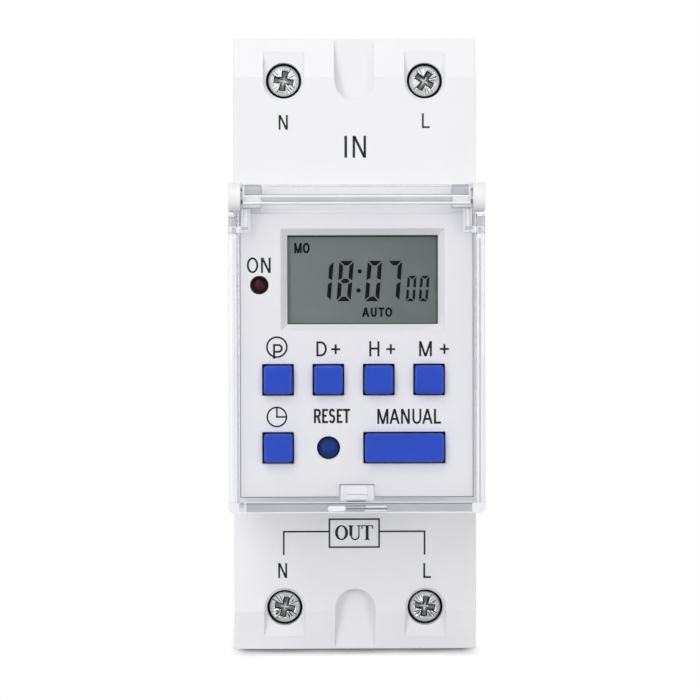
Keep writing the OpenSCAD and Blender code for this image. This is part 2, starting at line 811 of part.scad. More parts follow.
module key(k) {
    shape = k[1];
    top = shape == "round" ? face_d - reset_sink : face_d + key_proud;
    color("royalblue") stand() translate([k[2], k[3], 0]) difference() {
        union() {
            translate([0, 0, flange_top - eps]) linear_extrude(top - flange_top + eps)
                key_outline(shape, key_gap);
            translate([0, 0, flange_top - key_flange_t]) linear_extrude(key_flange_t)
                key_outline(shape, -key_flange / 2);
            translate([0, 0, stem_top]) cylinder(r = 1.4, h = flange_top - stem_top);
        }
        if (shape == "round") translate([0, 0, top + 2.6]) sphere(r = 3, $fn = 72);
    }
}

// ---------------------------------------------------------------- cover and rail clip

module cover_front() {
    x = cover_w / 2;
    r = cover_corner;
    translate([0, 0, skirt_z]) linear_extrude(cover_skirt) union() {
        panel([-x, cover_y0 + r], [x, cover_y1]);
        panel([r - x, cover_y0], [x - r, cover_y1]);
        for (s = [-1, 1]) translate([s * (x - r), cover_y0 + r]) circle(r = r);
    }
}

module hinge_barrel() {
    knuckle_x = barrel_x - knuckle_len;
    translate([0, hinge_y, hinge_z]) {
        difference() {
            rod_x(barrel_r, -barrel_x, barrel_x, $fn = 72);
            block([-knuckle_x, barrel_r / 2, -3], [knuckle_x, 3, 3]);
        }
        rod_x(pin_r, -cover_w / 2 + free_gap, cover_w / 2 - free_gap);
    }
}

// Barbed hook that enters the notch under the face
module latch_hook() {
    y0 = cover_y0 + sheet_t;
    tip = notch_h - front_bottom - 0.25;
    across(latch_w) polygon([
        [y0 - 0.3, cover_in_z + 0.2], [y0 - 0.3, face_back - 1.2], [tip - 1, face_back - 1.2],
        [tip, face_back - 0.3], [tip, face_back + 0.4], [tip - 0.9, face_back + 0.8],
        [tip - 0.9, cover_in_z + 0.2],
    ]);
}

module clear_cover() {
    rib_x = barrel_x - rib_w;
    rib_y = cover_y1 - rib_l;
    lip_r = 0.5;
    lip_edge = 0.15;
    color([0.85, 0.9, 0.95, 0.4]) stand() {
        difference() {
            cover_front();
            block([-cover_in_x, cover_y0 + sheet_t, skirt_z - 1], [cover_in_x, 40, cover_in_z]);
        }
        block([-barrel_x, cover_y1 - eps, cover_in_z], [barrel_x, hinge_y, cover_d]);
        hinge_barrel();
        at_sides() {
            block([rib_x, rib_y, cover_in_z - rib_drop], [barrel_x, hinge_y - 1, cover_in_z + eps]);
            block([rib_x, rib_y, cover_in_z - rib_drop],
                  [cover_in_x + eps, rib_y + rib_w, cover_in_z + eps]);
        }
        latch_hook();
        // Thumb lip
        translate([0, cover_y0 + lip_edge + lip_r, cover_d - eps]) linear_extrude(lip_r) {
            square([thumb_w - 2 * lip_r, 2 * lip_r], center = true);
            for (s = [-1, 1]) translate([s * (thumb_w / 2 - lip_r), 0]) circle(r = lip_r);
        }
    }
}

module rail_clip() {
    color("gainsboro") stand() difference() {
        union() {
            block([-clip_x, -clip_end, clip_z0], [clip_x, hook_root + 1, clip_z1]);
            block([-flange_x, -foot_y - 1, flange_z], [flange_x, hook_root, clip_z1]);
            across(clip_w) polygon([
                [hook_root, clip_z1], [hook_root, clip_z0], [-hook_y - 1.7, clip_z0],
                [-hook_y, clip_z0 + 1.7], [-hook_y, clip_hook_z], [hook_root, clip_hook_z],
            ]);
        }
        // Window for the spring, and slot for a screwdriver
        block([-spring_slot_x, spring_y0 - peg_h - seat_gap, -foot_d - 1],
              [spring_slot_x, spring_y1, 1]);
        block([-3, -clip_end + 2.6, -foot_d - 1], [3, -clip_end + 4, 1]);
    }
}

function ring_point(t, a) = let(
        r = (spring_od - spring_wire) / 2 + spring_wire / 2 * cos(a),
        turn = 360 * spring_turns * t)
    [r * cos(turn), spring_wire / 2 + (spring_len - spring_wire) * t + spring_wire / 2 * sin(a),
     r * sin(turn)];

module clip_spring() {
    sides = 6;
    rings = 14 * spring_turns;
    points = [for (i = [0:rings]) for (j = [0:sides - 1]) ring_point(i / rings, -360 * j / sides)];
    walls = [for (i = [0:rings - 1]) for (j = [0:sides - 1])
        let(a = i * sides + j, b = i * sides + (j + 1) % sides) [a, b, b + sides, a + sides]];
    first = [for (j = [sides - 1:-1:0]) j];
    last = [for (j = [0:sides - 1]) rings * sides + j];
    color("silver") stand() translate([0, spring_y0, spring_z])
        polyhedron(points, concat([first], walls, [last]), convexity = 10);
}

// ---------------------------------------------------------------- terminals

module terminal_bars() {
    pin_w = 1;
    leg = bar_leg_y - screw_y;
    color("peru") stand() at_terminals() {
        block([-bar_w / 2, leg, bar_z0], [bar_w / 2, cage_l / 2 - 0.5, bar_z1]);
        block([-bar_w / 2, leg, power_z1], [bar_w / 2, leg + bar_t, bar_z1]);
        for (x = [-bar_w / 2, bar_w / 2 - pin_w])
            block([x, leg, power_z0 - 1], [x + pin_w, leg + bar_t, power_z1 + eps]);
    }
}

module terminal_screw(t) {
    arm = 0.95;
    reach = 1.5;
    recess = 0.9;
    edge = 0.25;
    tip_z = bar_z1 + free_gap;
    turn = 13 + 17 * t[1] * t[2];
    color("silver") stand() translate([t[1] * screw_x, t[2] * screw_y, 0]) {
        difference() {
            translate([0, 0, head_z0]) union() {
                cylinder(r = head_r, h = head_h - edge);
                translate([0, 0, head_h - edge]) cylinder(r1 = head_r, r2 = head_r - edge, h = edge);
            }
            rotate(turn) for (a = [0, 90]) rotate(a)
                block([-reach, -arm / 2, head_z1 - recess], [reach, arm / 2, head_z1 + 1]);
        }
        translate([0, 0, tip_z]) cylinder(r = shank_r, h = head_z0 - tip_z + eps);
    }
}

module terminal_cage(t) {
    x = cage_w / 2;
    color("goldenrod") stand() translate([t[1] * screw_x, t[2] * screw_y, 0]) difference() {
        block([-x, -cage_l / 2, cage_z0], [x, cage_l / 2, cage_z1]);
        block([cage_wall - x, -cage_l, cage_in_z], [x - cage_wall, cage_l, cage_z1 - nut_t]);
        translate([0, 0, cage_z1 - nut_t - 1]) cylinder(r = shank_r + run_gap, h = nut_t + 2);
        // Grooves that grip the wire
        for (y = [-2, 0, 2]) translate([0, y, cage_in_z]) rotate([45, 0, 0])
            cube([2 * x - 2 * cage_wall, 0.4, 0.4], center = true);
    }
}

// ---------------------------------------------------------------- power board

module power_board() {
    pin_gap = 0.1;
    leg = bar_leg_y - screw_y;
    color("darkgreen") stand() difference() {
        block([-power_w / 2, -power_l / 2, power_z0], [power_w / 2, power_l / 2, power_z1]);
        for (b = POWER_BOSSES) translate([b[0], b[1], power_z0 - 1]) cylinder(r = 1.5, h = 4);
        at_terminals() for (x = [-bar_w / 2, bar_w / 2 - 1])
            block([x - pin_gap, leg - pin_gap, power_z0 - 1],
                  [x + 1 + pin_gap, leg + bar_t + pin_gap, power_z1 + 1]);
    }
}

// A lead wire bent down into the board, for a part that lies along y
module axial_part(r, l, lead_r) {
    z = power_z1 + r;
    translate([0, 0, z]) {
        rod_y(r, -l / 2, l / 2);
        rod_y(lead_r, -l / 2 - 1.2, l / 2 + 1.2);
    }
    for (y = [-l / 2 - 1.2, l / 2 + 1.2]) translate([0, y, power_z1])
        cylinder(r = lead_r, h = r + lead_r);
}

module relay() {
    x0 = relay_left - power_w / 2;
    x1 = power_w / 2 - relay_right;
    y0 = relay_end - power_l / 2;
    z0 = power_z1 + standoff;
    pin = 1.2;
    inset = 0.8;
    color("royalblue") stand() {
        block([x0, y0, z0], [x1, -relay_mid, z0 + relay_h]);
        for (x = [x0 + inset, x1 - inset - pin]) for (y = [y0 + inset, -relay_mid - inset - pin])
            block([x, y, power_z1], [x + pin, y + pin, z0 + eps]);
    }
}

module film_capacitor() {
    x0 = film_left - power_w / 2;
    x1 = power_w / 2 - film_right;
    y1 = power_l / 2 - film_end;
    z0 = power_z1 + standoff;
    inset = 1.5;
    color("khaki") stand() {
        block([x0, y1 - film_t, z0], [x1, y1, z0 + film_h]);
        for (x = [x0 + inset, x1 - inset]) translate([x, y1 - film_t / 2, power_z1])
            cylinder(r = 0.4, h = standoff + eps);
    }
}

module smoothing_capacitor() {
    crimp_r = 0.5;
    color("midnightblue") stand() translate([smooth_x, smooth_y, power_z1]) difference() {
        cylinder(r = smooth_r, h = smooth_h);
        translate([0, 0, 1.8]) rotate_extrude() translate([smooth_r + 0.15, 0]) circle(r = crimp_r);
    }
}

module rectifier_diodes() {
    pitch = 2 * diode_r + axial_gap;
    x0 = 4.8 - power_w / 2;
    color("black") stand() for (i = [0:3]) translate([x0 + i * pitch, smooth_y + 1.5, 0])
        axial_part(diode_r, diode_l, 0.4);
}

module resistors() {
    pitch = 2 * resistor_r + axial_gap;
    x1 = power_w / 2 - 1.8;
    color("tan") stand() for (i = [0:2]) translate([x1 - i * pitch, -6, 0])
        axial_part(resistor_r, resistor_l, 0.3);
}

module driver_transistor() {
    z0 = power_z1 + 3;
    flat = 1.3;
    leg = 0.22;
    color("black") stand() translate([ribbon_x, ribbon_y0 + 6, 0]) {
        difference() {
            translate([0, 0, z0]) cylinder(r = transistor_r, h = transistor_h);
            block([-3, flat, z0 - 1], [3, 3, z0 + transistor_h + 1]);
        }
        for (x = [-1.27, 0, 1.27]) block([x - leg, -leg, power_z1], [x + leg, leg, z0 + eps]);
    }
}

module varistor() {
    y = bar_leg_y - varistor_t / 2 - 1.15;
    color("steelblue") stand() translate([power_w / 2 - 6, y, power_z1]) {
        translate([0, 0, varistor_r + 1]) rod_y(varistor_r, -varistor_t / 2, varistor_t / 2);
        for (x = [-2.5, 2.5]) translate([x, 0, 0]) cylinder(r = 0.4, h = 3);
    }
}

module board_connectors() {
    x = ribbon_w / 2 + 0.7;
    y = 1.5;
    h = 4;
    color("ivory") stand() {
        block([ribbon_x - x, ribbon_y0 - y, power_z1], [ribbon_x + x, ribbon_y0 + y, power_z1 + h]);
        block([ribbon_x - x, ribbon_y1 - y, display_z0 - h],
              [ribbon_x + x, ribbon_y1 + y, display_z0]);
    }
}

// Centre line of the ribbon: straight, an S bend of two arcs, straight
function ribbon_line(r, a, z_mid) = concat(
    [[ribbon_y0, power_z1 + 4]],
    [for (i = [0:8]) [ribbon_y0 + r * (1 - cos(a * i / 8)), z_mid - r * sin(a) + r * sin(a * i / 8)]],
    [for (i = [7:-1:0]) [ribbon_y1 - r * (1 - cos(a * i / 8)), z_mid + r * sin(a) - r * sin(a * i / 8)]],
    [[ribbon_y1, display_z0 - 4]]
);

module ribbon_cable() {
    bend = 60;
    r = (ribbon_y1 - ribbon_y0) / (2 * (1 - cos(bend)));
    line = ribbon_line(r, bend, (power_z1 + display_z0) / 2);
    t = 0.45;
    n = len(line) - 1;
    function side(i, s) = let(d = line[min(i + 1, n)] - line[max(i - 1, 0)])
        line[i] + s * t * [-d[1], d[0]] / norm(d);
    color("lightgray") stand() translate([ribbon_x, 0, 0]) across(ribbon_w)
        polygon(concat([for (i = [0:n]) side(i, 1)], [for (i = [n:-1:0]) side(i, -1)]));
}

// Cross-recessed screw that stands on z = 0 with its shank below
module cross_screw(r, h, shank, l) {
    arm = 0.15 * r;
    difference() {
        union() {
            cylinder(r = r, h = h);
            translate([0, 0, -l]) cylinder(r = shank, h = l + eps);
        }
        for (a = [0, 90]) rotate(a) block([-0.55 * r, -arm, h / 2], [0.55 * r, arm, h + 1]);
    }
}

module board_screws() {
    color("silver") stand() for (b = POWER_BOSSES) translate([b[0], b[1], power_z1])
        cross_screw(2.4, 1.6, 1.2, 6);
}

module display_board_screws() {
    color("silver") stand() for (b = DISPLAY_BOSSES) translate([b[0], b[1], display_z0])
        mirror([0, 0, 1]) cross_screw(display_screw_r, 1, 0.8, 5);
}

rear_housing();
front_housing();
face_plate();
lcd_glass();
lcd_holder();
zebra_strips();
display_board();
clock_chip();
crystal();
backup_cell();
status_led();
tact_switches();
ribbon_cable();
board_connectors();
power_board();
relay();
film_capacitor();
smoothing_capacitor();
rectifier_diodes();
resistors();
driver_transistor();
varistor();
terminal_bars();
board_screws();
display_board_screws();
clip_spring();
clear_cover();
rail_clip();
for (k = KEYS) key(k);
for (k = KEYS) switch_stem(k);
for (t = TERMINALS) terminal_screw(t);
for (t = TERMINALS) terminal_cage(t);
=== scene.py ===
"""Two-module rail timer: finishes, legends, display, keys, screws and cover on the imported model."""
import json
import math

import bmesh
import bpy
from mathutils import Matrix, Vector


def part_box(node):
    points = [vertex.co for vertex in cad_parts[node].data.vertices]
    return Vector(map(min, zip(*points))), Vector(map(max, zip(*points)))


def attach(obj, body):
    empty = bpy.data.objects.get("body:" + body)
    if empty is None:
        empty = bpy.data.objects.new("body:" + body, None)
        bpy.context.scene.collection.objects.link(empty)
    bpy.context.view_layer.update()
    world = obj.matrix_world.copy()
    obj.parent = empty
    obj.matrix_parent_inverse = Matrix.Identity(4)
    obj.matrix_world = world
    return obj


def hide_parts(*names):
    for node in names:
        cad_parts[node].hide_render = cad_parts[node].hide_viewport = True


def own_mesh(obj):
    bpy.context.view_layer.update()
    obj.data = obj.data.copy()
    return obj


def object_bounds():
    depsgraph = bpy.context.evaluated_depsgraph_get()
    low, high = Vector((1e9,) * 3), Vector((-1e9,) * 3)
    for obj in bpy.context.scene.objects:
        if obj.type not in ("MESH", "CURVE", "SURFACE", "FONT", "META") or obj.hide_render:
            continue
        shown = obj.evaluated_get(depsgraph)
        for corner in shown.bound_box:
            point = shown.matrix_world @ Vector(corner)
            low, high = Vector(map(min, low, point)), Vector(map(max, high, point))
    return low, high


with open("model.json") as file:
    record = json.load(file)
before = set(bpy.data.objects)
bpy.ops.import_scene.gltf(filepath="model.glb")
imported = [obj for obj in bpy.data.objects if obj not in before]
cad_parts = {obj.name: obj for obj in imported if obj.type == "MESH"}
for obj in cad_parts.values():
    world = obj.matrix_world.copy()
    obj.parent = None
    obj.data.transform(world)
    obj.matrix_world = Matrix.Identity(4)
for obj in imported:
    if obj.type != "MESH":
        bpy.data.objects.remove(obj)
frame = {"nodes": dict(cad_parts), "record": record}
CAD_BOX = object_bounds()
MM = 0.001
# Fronts of the face plate, the terminal shoulders and the display's glass, and how proud a print stands
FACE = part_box("face_plate")[0].y
SHOULDER = -0.044
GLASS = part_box("lcd_glass")[0].y
INK_T = 0.015 * MM


# ------------------------------------------------------------------ material tools

# Width in mm of the clouds in which a moulding's tone and gloss drift, and how far its roughness drifts
CLOUD = 6.0
GLOSS_DRIFT = 0.02
# Where most values of a noise lie
NOISE_LOW, NOISE_HIGH = 0.3, 0.7


def linear(code):
    """Linear RGBA of an sRGB hex colour."""
    parts = [int(code[i:i + 2], 16) / 255 for i in (1, 3, 5)]
    return [p / 12.92 if p <= 0.04045 else ((p + 0.055) / 1.055) ** 2.4 for p in parts] + [1.0]


def node(tree, kind, inputs=None, **settings):
    """Adds a node, sets its properties and fills its sockets with values or links."""
    made = tree.nodes.new("ShaderNode" + kind)
    for key, value in settings.items():
        setattr(made, key, value)
    for key, value in (inputs or {}).items():
        socket = made.inputs[key]
        if isinstance(value, bpy.types.NodeSocket):
            tree.links.new(value, socket)
        else:
            socket.default_value = value
    return made


def blank(name):
    """An empty material: its node tree and coordinates in metres."""
    material = bpy.data.materials.new(name)
    material.use_nodes = True
    tree = material.node_tree
    tree.nodes.clear()
    return material, tree, node(tree, "TexCoord").outputs["Object"]


def per_mm(size):
    """Texture scale for features of this size in millimetres."""
    return 1.0 / (size * MM)


def toned(tree, field, start, end, first, second):
    """Colour that turns from the first into the second as a field runs from start to end."""
    share = node(tree, "MapRange", {"Value": field, "From Min": start, "From Max": end}).outputs["Result"]
    first, second = (linear(tone) if isinstance(tone, str) else tone for tone in (first, second))
    # A colour Mix has its factor in socket 0 and its colours in 6 and 7
    return node(tree, "Mix", {0: share, 6: first, 7: second}, data_type="RGBA").outputs[2]


def surface(tree, place, colour, rough, grain, depth, rounding=0.0, specular=0.5, **fixed):
    """Surface with uneven gloss, a fine grain (size and depth in mm) and two tones that drift in clouds."""
    drift = node(tree, "TexNoise", {"Vector": place, "Scale": per_mm(CLOUD), "Detail": 4.0}).outputs["Fac"]
    pits = node(tree, "TexNoise", {"Vector": place, "Scale": per_mm(grain), "Detail": 3.0}).outputs["Fac"]
    grain_shows = 0.6
    bump = {"Strength": grain_shows, "Distance": depth * MM, "Height": pits}
    if rounding:
        bump["Normal"] = node(tree, "Bevel", {"Radius": rounding * MM}, samples=6).outputs["Normal"]
    if isinstance(colour, tuple):
        colour = toned(tree, drift, NOISE_LOW, NOISE_HIGH, *colour)
    gloss = node(tree, "MapRange", {"Value": drift, "From Min": NOISE_LOW, "From Max": NOISE_HIGH,
                                    "To Min": rough - GLOSS_DRIFT, "To Max": rough + GLOSS_DRIFT})
    return node(tree, "BsdfPrincipled", {
        "Base Color": colour, "Roughness": gloss.outputs["Result"], "Specular IOR Level": specular,
        "Normal": node(tree, "Bump", bump).outputs["Normal"], **fixed}).outputs["BSDF"]


def finish(name, colour, rough, grain, depth, **more):
    """A material of one such surface, in two tones or in a recipe's tone that follows the place."""
    material, tree, place = blank(name)
    if callable(colour):
        colour = colour(tree, place)
    node(tree, "OutputMaterial", {"Surface": surface(tree, place, colour, rough, grain, depth, **more)})
    return material


def pass_light(tree, sheet, facing, flat, edge):
    """Lets shadow and diffuse rays through a clear moulding; walls that stand on edge give more shade."""
    path = node(tree, "LightPath").outputs
    open_to = node(tree, "Math", {0: path["Is Shadow Ray"], 1: path["Is Diffuse Ray"]}, operation="MAXIMUM")
    cast = toned(tree, facing, 0.62, 0.98, flat, edge)
    through = node(tree, "BsdfTransparent", {"Color": cast}).outputs["BSDF"]
    both = node(tree, "MixShader", {0: open_to.outputs["Value"], 1: sheet, 2: through})
    node(tree, "OutputMaterial", {"Surface": both.outputs["Shader"]})


def clear_polycarbonate(name, cast):
    """Moulded and polished clear sheet: almost colourless, with painted shade that makes it greyer where it
    turns away from the eye.
    """
    material, tree, place = blank(name)
    # Slow waves of the polished tool, 9 mm apart
    waves = node(tree, "TexNoise", {"Vector": place, "Scale": per_mm(9.0), "Detail": 1.0}).outputs["Fac"]
    bump = node(tree, "Bump", {"Strength": 0.1, "Distance": 0.0006 * MM, "Height": waves})
    facing = node(tree, "LayerWeight", {"Blend": 0.5}).outputs["Facing"]
    sheet = node(tree, "BsdfPrincipled", {
        # Painted shade: the sheet's colour turns grey as it turns away from the eye
        "Base Color": toned(tree, facing, 0.25, 0.85, "#FCFCFD", "#AEB0B6"), "Roughness": 0.015,
        "IOR": 1.5, "Transmission Weight": 1.0, "Normal": bump.outputs["Normal"]}).outputs["BSDF"]
    pass_light(tree, sheet, facing, cast, "#A2A4A8")
    return material


def painted_light_polycarbonate(name, pale, dark, rough, clear):
    """The same moulding made milky, as painted light, or grey, as painted shade where it is deep."""
    material, tree, place = blank(name)
    facing = node(tree, "LayerWeight", {"Blend": 0.5}).outputs["Facing"]
    sheet = surface(tree, place, (pale, dark), rough, 0.3, 0.002, **{"Transmission Weight": clear})
    pass_light(tree, sheet, facing, "#F4F4F6", "#C4C6CA")
    return material


def lens_painted_reflex(tree, place):
    """Red tinted epoxy: wine red in the middle as a painted reflex of the domed lens, and nearly black at
    the rim as painted shade.
    """
    low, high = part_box("status_led")
    offset = node(tree, "VectorMath", {0: place, 1: (low + high) / 2}, operation="SUBTRACT")
    flat = node(tree, "VectorMath", {0: offset.outputs["Vector"], 1: (1.0, 0.0, 1.0)}, operation="MULTIPLY")
    radius = node(tree, "VectorMath", {0: flat.outputs["Vector"]}, operation="LENGTH").outputs["Value"]
    return toned(tree, radius, 0.2 * MM, 1.0 * MM, "#4A1014", "#0C0203")


def recess_painted_shade(tree, place):
    """Steel of the cross recess with painted shade, darkest on the walls of the cross, and a painted
    highlight, bright at its deepest.
    """
    depth = node(tree, "SeparateXYZ", {"Vector": place}).outputs["Y"]
    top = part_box("terminal_screw_in_n")[0].y
    walls_to_floor = toned(tree, depth, top + 0.72 * MM, top + 0.92 * MM, "#1E2022", "#7E8082")
    return toned(tree, depth, top + 1.0 * MM, top + 1.08 * MM, walls_to_floor, "#D2D3D5")


def polariser_tone(tree, place):
    """Grey-green of the reflective display with painted light, paler on the left where the light enters,
    and 4 mm clouds.
    """
    across = node(tree, "SeparateXYZ", {"Vector": place}).outputs["X"]
    cloud = node(tree, "TexNoise", {"Vector": place, "Scale": per_mm(4.0), "Detail": 3.0}).outputs["Fac"]
    # Sockets 0 to 4 of a MapRange: the field, where it starts and ends, and what these become
    painted_light_slope, drift = (node(tree, "MapRange", dict(enumerate(row))).outputs["Result"] for row in (
        (across, -8 * MM, 11 * MM, 0.0, 0.85), (cloud, NOISE_LOW, NOISE_HIGH, -0.1, 0.15)))
    tone = node(tree, "Math", {0: painted_light_slope, 1: drift}, operation="ADD").outputs["Value"]
    return toned(tree, tone, 0.0, 1.0, "#787F7C", "#69706D")


# ------------------------------------------------------------------ finishes

FINISHES = {
    # Flame-retardant white ABS from a spark-eroded tool: satin, with broad highlights and a 0.15 mm grain
    "white_plastic": finish("white_abs_satin", ("#F0F0F2", "#EEEEF0"), 0.42, 0.15, 0.004, rounding=0.22),
    # The rear shell is of the same ABS, a touch greyer and duller
    "rear_white_plastic": finish("white_abs_rear", ("#EEEEF1", "#ECECEF"), 0.45, 0.15, 0.004,
                                 rounding=0.22),
    # The face plate comes from a smoother tool: a little glossier, and painted lighter than the shell to
    # make up for the light that the cover takes
    "face_plastic": finish("white_abs_face", ("#F7F7F8", "#F3F3F5"), 0.36, 0.2, 0.003, rounding=0.15),
    # Holders inside: pale grey ABS, and natural nylon with its warm ivory look
    "holder_plastic": finish("white_abs_holder", ("#E4E5E6", "#DEDFE1"), 0.5, 0.2, 0.004),
    "ivory_plastic": finish("nylon_ivory", ("#EFE8D4", "#E6DDC6"), 0.5, 0.2, 0.004),
    # Acetal slides well and looks waxy, a little cooler and greyer than the shells
    "clip_plastic": finish("acetal_waxy", ("#DCDDDF", "#D3D4D8"), 0.38, 0.25, 0.003, rounding=0.2,
                           **{"Subsurface Weight": 0.05, "Subsurface Radius": (0.002, 0.002, 0.002)}),
    # Solid-coloured acrylic-ABS key caps: glossy, with a lighter line where their edges turn
    "blue_key": finish("blue_key_gloss", ("#1F4CCB", "#1C47C1"), 0.34, 0.3, 0.002, rounding=0.28),
    # The round reset key is deeper and duller
    "reset_blue": finish("blue_reset_satin", ("#043486", "#032D79"), 0.4, 0.3, 0.002, rounding=0.15,
                         specular=0.3),
    # Skirt of a key below the face: dull, and nearly black with painted shade in its narrow gap
    "key_skirt": finish("blue_key_skirt", ("#070A18", "#04060D"), 0.6, 0.3, 0.004),
    # Black phenolic and epoxy mouldings: dull and faintly cloudy; the switch shell is a dark grey one
    "black_plastic": finish("black_moulded", ("#26272A", "#1C1D20"), 0.5, 0.2, 0.004),
    "switch_grey": finish("switch_shell", ("#3A3C40", "#313337"), 0.5, 0.2, 0.004),
    # Relay case of blue polyester: smooth and half glossy
    "relay_blue": finish("relay_case", ("#2C63B8", "#2558A8"), 0.35, 0.3, 0.003),
    # Film capacitor in an epoxy-filled box: warm yellow and satin
    "capacitor_yellow": finish("film_box_epoxy", ("#D8B348", "#CBA43A"), 0.42, 0.25, 0.004),
    # Varistor dipped in epoxy: its skin is wavy
    "varistor_blue": finish("varistor_dip", ("#2E5E9E", "#27528C"), 0.35, 0.8, 0.03),
    # Clear sheet of the cover; its lower wall is thick and casts a greyer shade
    "clear_plastic": clear_polycarbonate("clear_polycarbonate", "#FDFDFE"),
    "clear_thick": clear_polycarbonate("thick_clear_polycarbonate", "#E4E5E8"),
    # Ribs, edges and the latch of the cover: milky pads are painted highlights and pale light, grey ones
    # painted shade where they are deep
    "clear_milky": painted_light_polycarbonate("milky_polycarbonate", "#FDFDFE", "#F8F8FA", 0.35, 0.12),
    "clear_grey": painted_light_polycarbonate("grained_deep_polycarbonate", "#CFD0D4", "#C6C7CB", 0.3, 0.25),
    # Satin polariser film over the display: no sharp reflections
    "display_glass": finish("display_polariser", polariser_tone, 0.5, 0.1, 0.001, specular=0.3),
    # Moulded epoxy lens: smooth, with a small soft highlight
    "led_red": finish("red_diode_lens", lens_painted_reflex, 0.14, 0.5, 0.001, specular=0.2),
    # Nickel-plated steel: bright, and a little frosted from tumbling
    "screw_steel": finish("nickel_steel", ("#E4E5E6", "#D2D3D5"), 0.24, 0.08, 0.002, Metallic=1.0),
    # The same steel in the cross recess and the creases of the head: dull, with painted shade and a painted
    # highlight
    "recess": finish("pressed_recess", recess_painted_shade, 0.42, 0.12, 0.01, Metallic=1.0),
    # Painted shadow lines: in the seam round the face plate and on the cover; dull and grey
    "seam": finish("face_seam_shadow", ("#7C7E83", "#74767B"), 0.8, 0.1, 0.001, specular=0.2),
    # Zinc-plated cages, rolled brass, the cell's stainless can and drawn spring wire: all soft mirrors
    "cage_steel": finish("zinc_steel", ("#C4C6C4", "#B2B5B6"), 0.36, 0.4, 0.003, Metallic=1.0),
    "terminal_brass": finish("brass_strip", ("#D9B26A", "#C79D55"), 0.3, 0.2, 0.002, Metallic=1.0),
    "cell_steel": finish("cell_can", ("#CFD0D2", "#BFC0C3"), 0.25, 0.2, 0.001, Metallic=1.0),
    "spring_steel": finish("spring_wire", ("#B9BABD", "#A5A6AA"), 0.3, 0.05, 0.001, Metallic=1.0),
    # Solder mask on the boards: glossy green over the 0.6 mm weave of the glass cloth
    "board_green": finish("solder_mask", ("#1E5B3A", "#184E31"), 0.3, 0.6, 0.01),
    # Shrunk sleeve, resistor lacquer and silicone strip: glossy, satin and matt
    "sleeve_dark": finish("shrink_sleeve", ("#1E2A4A", "#18223C"), 0.3, 0.5, 0.002),
    "resistor_tan": finish("resistor_lacquer", ("#C9B08A", "#BCA27A"), 0.4, 0.3, 0.004),
    "zebra_rubber": finish("zebra_rubber", ("#D9A0A0", "#C98F90"), 0.6, 0.2, 0.004),
    # Pad-printed epoxy ink: dark grey, matt
    "ink": finish("printed_ink", ("#2A2C2F", "#232528"), 0.6, 0.05, 0.001, specular=0.25),
    # Switched liquid crystal: nearly black under the polariser; the seal round it is a dark grey-green,
    # which also serves as painted shadow at the window's edge
    "segments": finish("liquid_crystal_dark", ("#121514", "#0E1110"), 0.7, 0.1, 0.0005, specular=0.1),
    "border": finish("display_seal", ("#333A37", "#2C322F"), 0.7, 0.1, 0.0005, specular=0.2),
    # Ring in the screw bores: matt and nearly black
    "washer": finish("black_fibre", ("#0C0C0D", "#080809"), 0.75, 0.1, 0.004),
    # Ribbon cable of soft PVC: grey and satin
    "ribbon_grey": finish("ribbon_pvc", ("#A9ACB0", "#9DA0A5"), 0.45, 0.4, 0.003),
}

for part in frame["record"]["subparts"]:
    skin = frame["nodes"][part["node"]].data.materials
    for spot in range(len(skin)):
        skin[spot] = FINISHES[part["material_slot"]]


# ------------------------------------------------------------------ making of pieces

def piece(name, shape, body, skins, smooth_angle=None):
    """Makes an object of a bmesh, which rides on a body and wears these finishes."""
    bmesh.ops.recalc_face_normals(shape, faces=shape.faces)
    mesh = bpy.data.meshes.new(name)
    shape.to_mesh(mesh)
    shape.free()
    made = bpy.data.objects.new(name, mesh)
    if smooth_angle:
        mesh.shade_smooth()
        mesh.set_sharp_from_angle(angle=math.radians(smooth_angle))
        # Flats keep their own normals, so that only the rounded edges between them are shaded as round
        made.modifiers.new("flat_faces", "WEIGHTED_NORMAL").keep_sharp = True
    bpy.context.collection.objects.link(made)
    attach(made, body)
    for skin in skins:
        mesh.materials.append(FINISHES[skin])
    return made


def corners(shape, places, y):
    """A row of corners at places in x and z (mm), all at one depth."""
    return [shape.verts.new((x * MM, y, z * MM)) for x, z in places]


def walls(shape, rows, skin=0, capped=False, around=True):
    """Faces from each row of corners to the next, all the way round or not, with closed or open ends."""
    made = []
    for one, two in zip(rows, rows[1:]):
        for i in range(len(one) if around else len(one) - 1):
            k = (i + 1) % len(one)
            made.append(shape.faces.new((one[i], one[k], two[k], two[i])))
    if capped:
        made += [shape.faces.new(rows[0]), shape.faces.new(rows[-1])]
    for face in made:
        face.material_index = skin
    return made


def arc(cx, cz, rx, rz, start, end, steps):
    """Points along part of an ellipse, in degrees from +x."""
    turns = (math.radians(start + (end - start) * i / steps) for i in range(steps + 1))
    return [(cx + rx * math.cos(t), cz + rz * math.sin(t)) for t in turns]


def closed(points):
    """A line that ends where it starts."""
    return points + points[:1]


def ring(cx, cz, r):
    """A full circle."""
    return closed(arc(cx, cz, r, r, 0, 360, 48)[:-1])


def rounded(cx, cz, half_x, half_z, r, steps):
    """Outline of a rounded rectangle, always with a short straight between its corners."""
    straight = 0.002
    r = min(r, half_x - straight, half_z - straight)
    points = []
    for sx, sz, start in ((1, 1, 0), (-1, 1, 90), (-1, -1, 180), (1, -1, 270)):
        points += arc(cx + sx * (half_x - r), cz + sz * (half_z - r), r, r, start, start + 90, steps)
    return points


def soft_edge(r, *turns):
    """Steps over a rounded edge, in degrees: how far each lies in from the side and down from the top."""
    return [(r * (1 - math.cos(a)), r * (1 - math.sin(a))) for a in map(math.radians, turns)]


# ------------------------------------------------------------------ printed signs and display

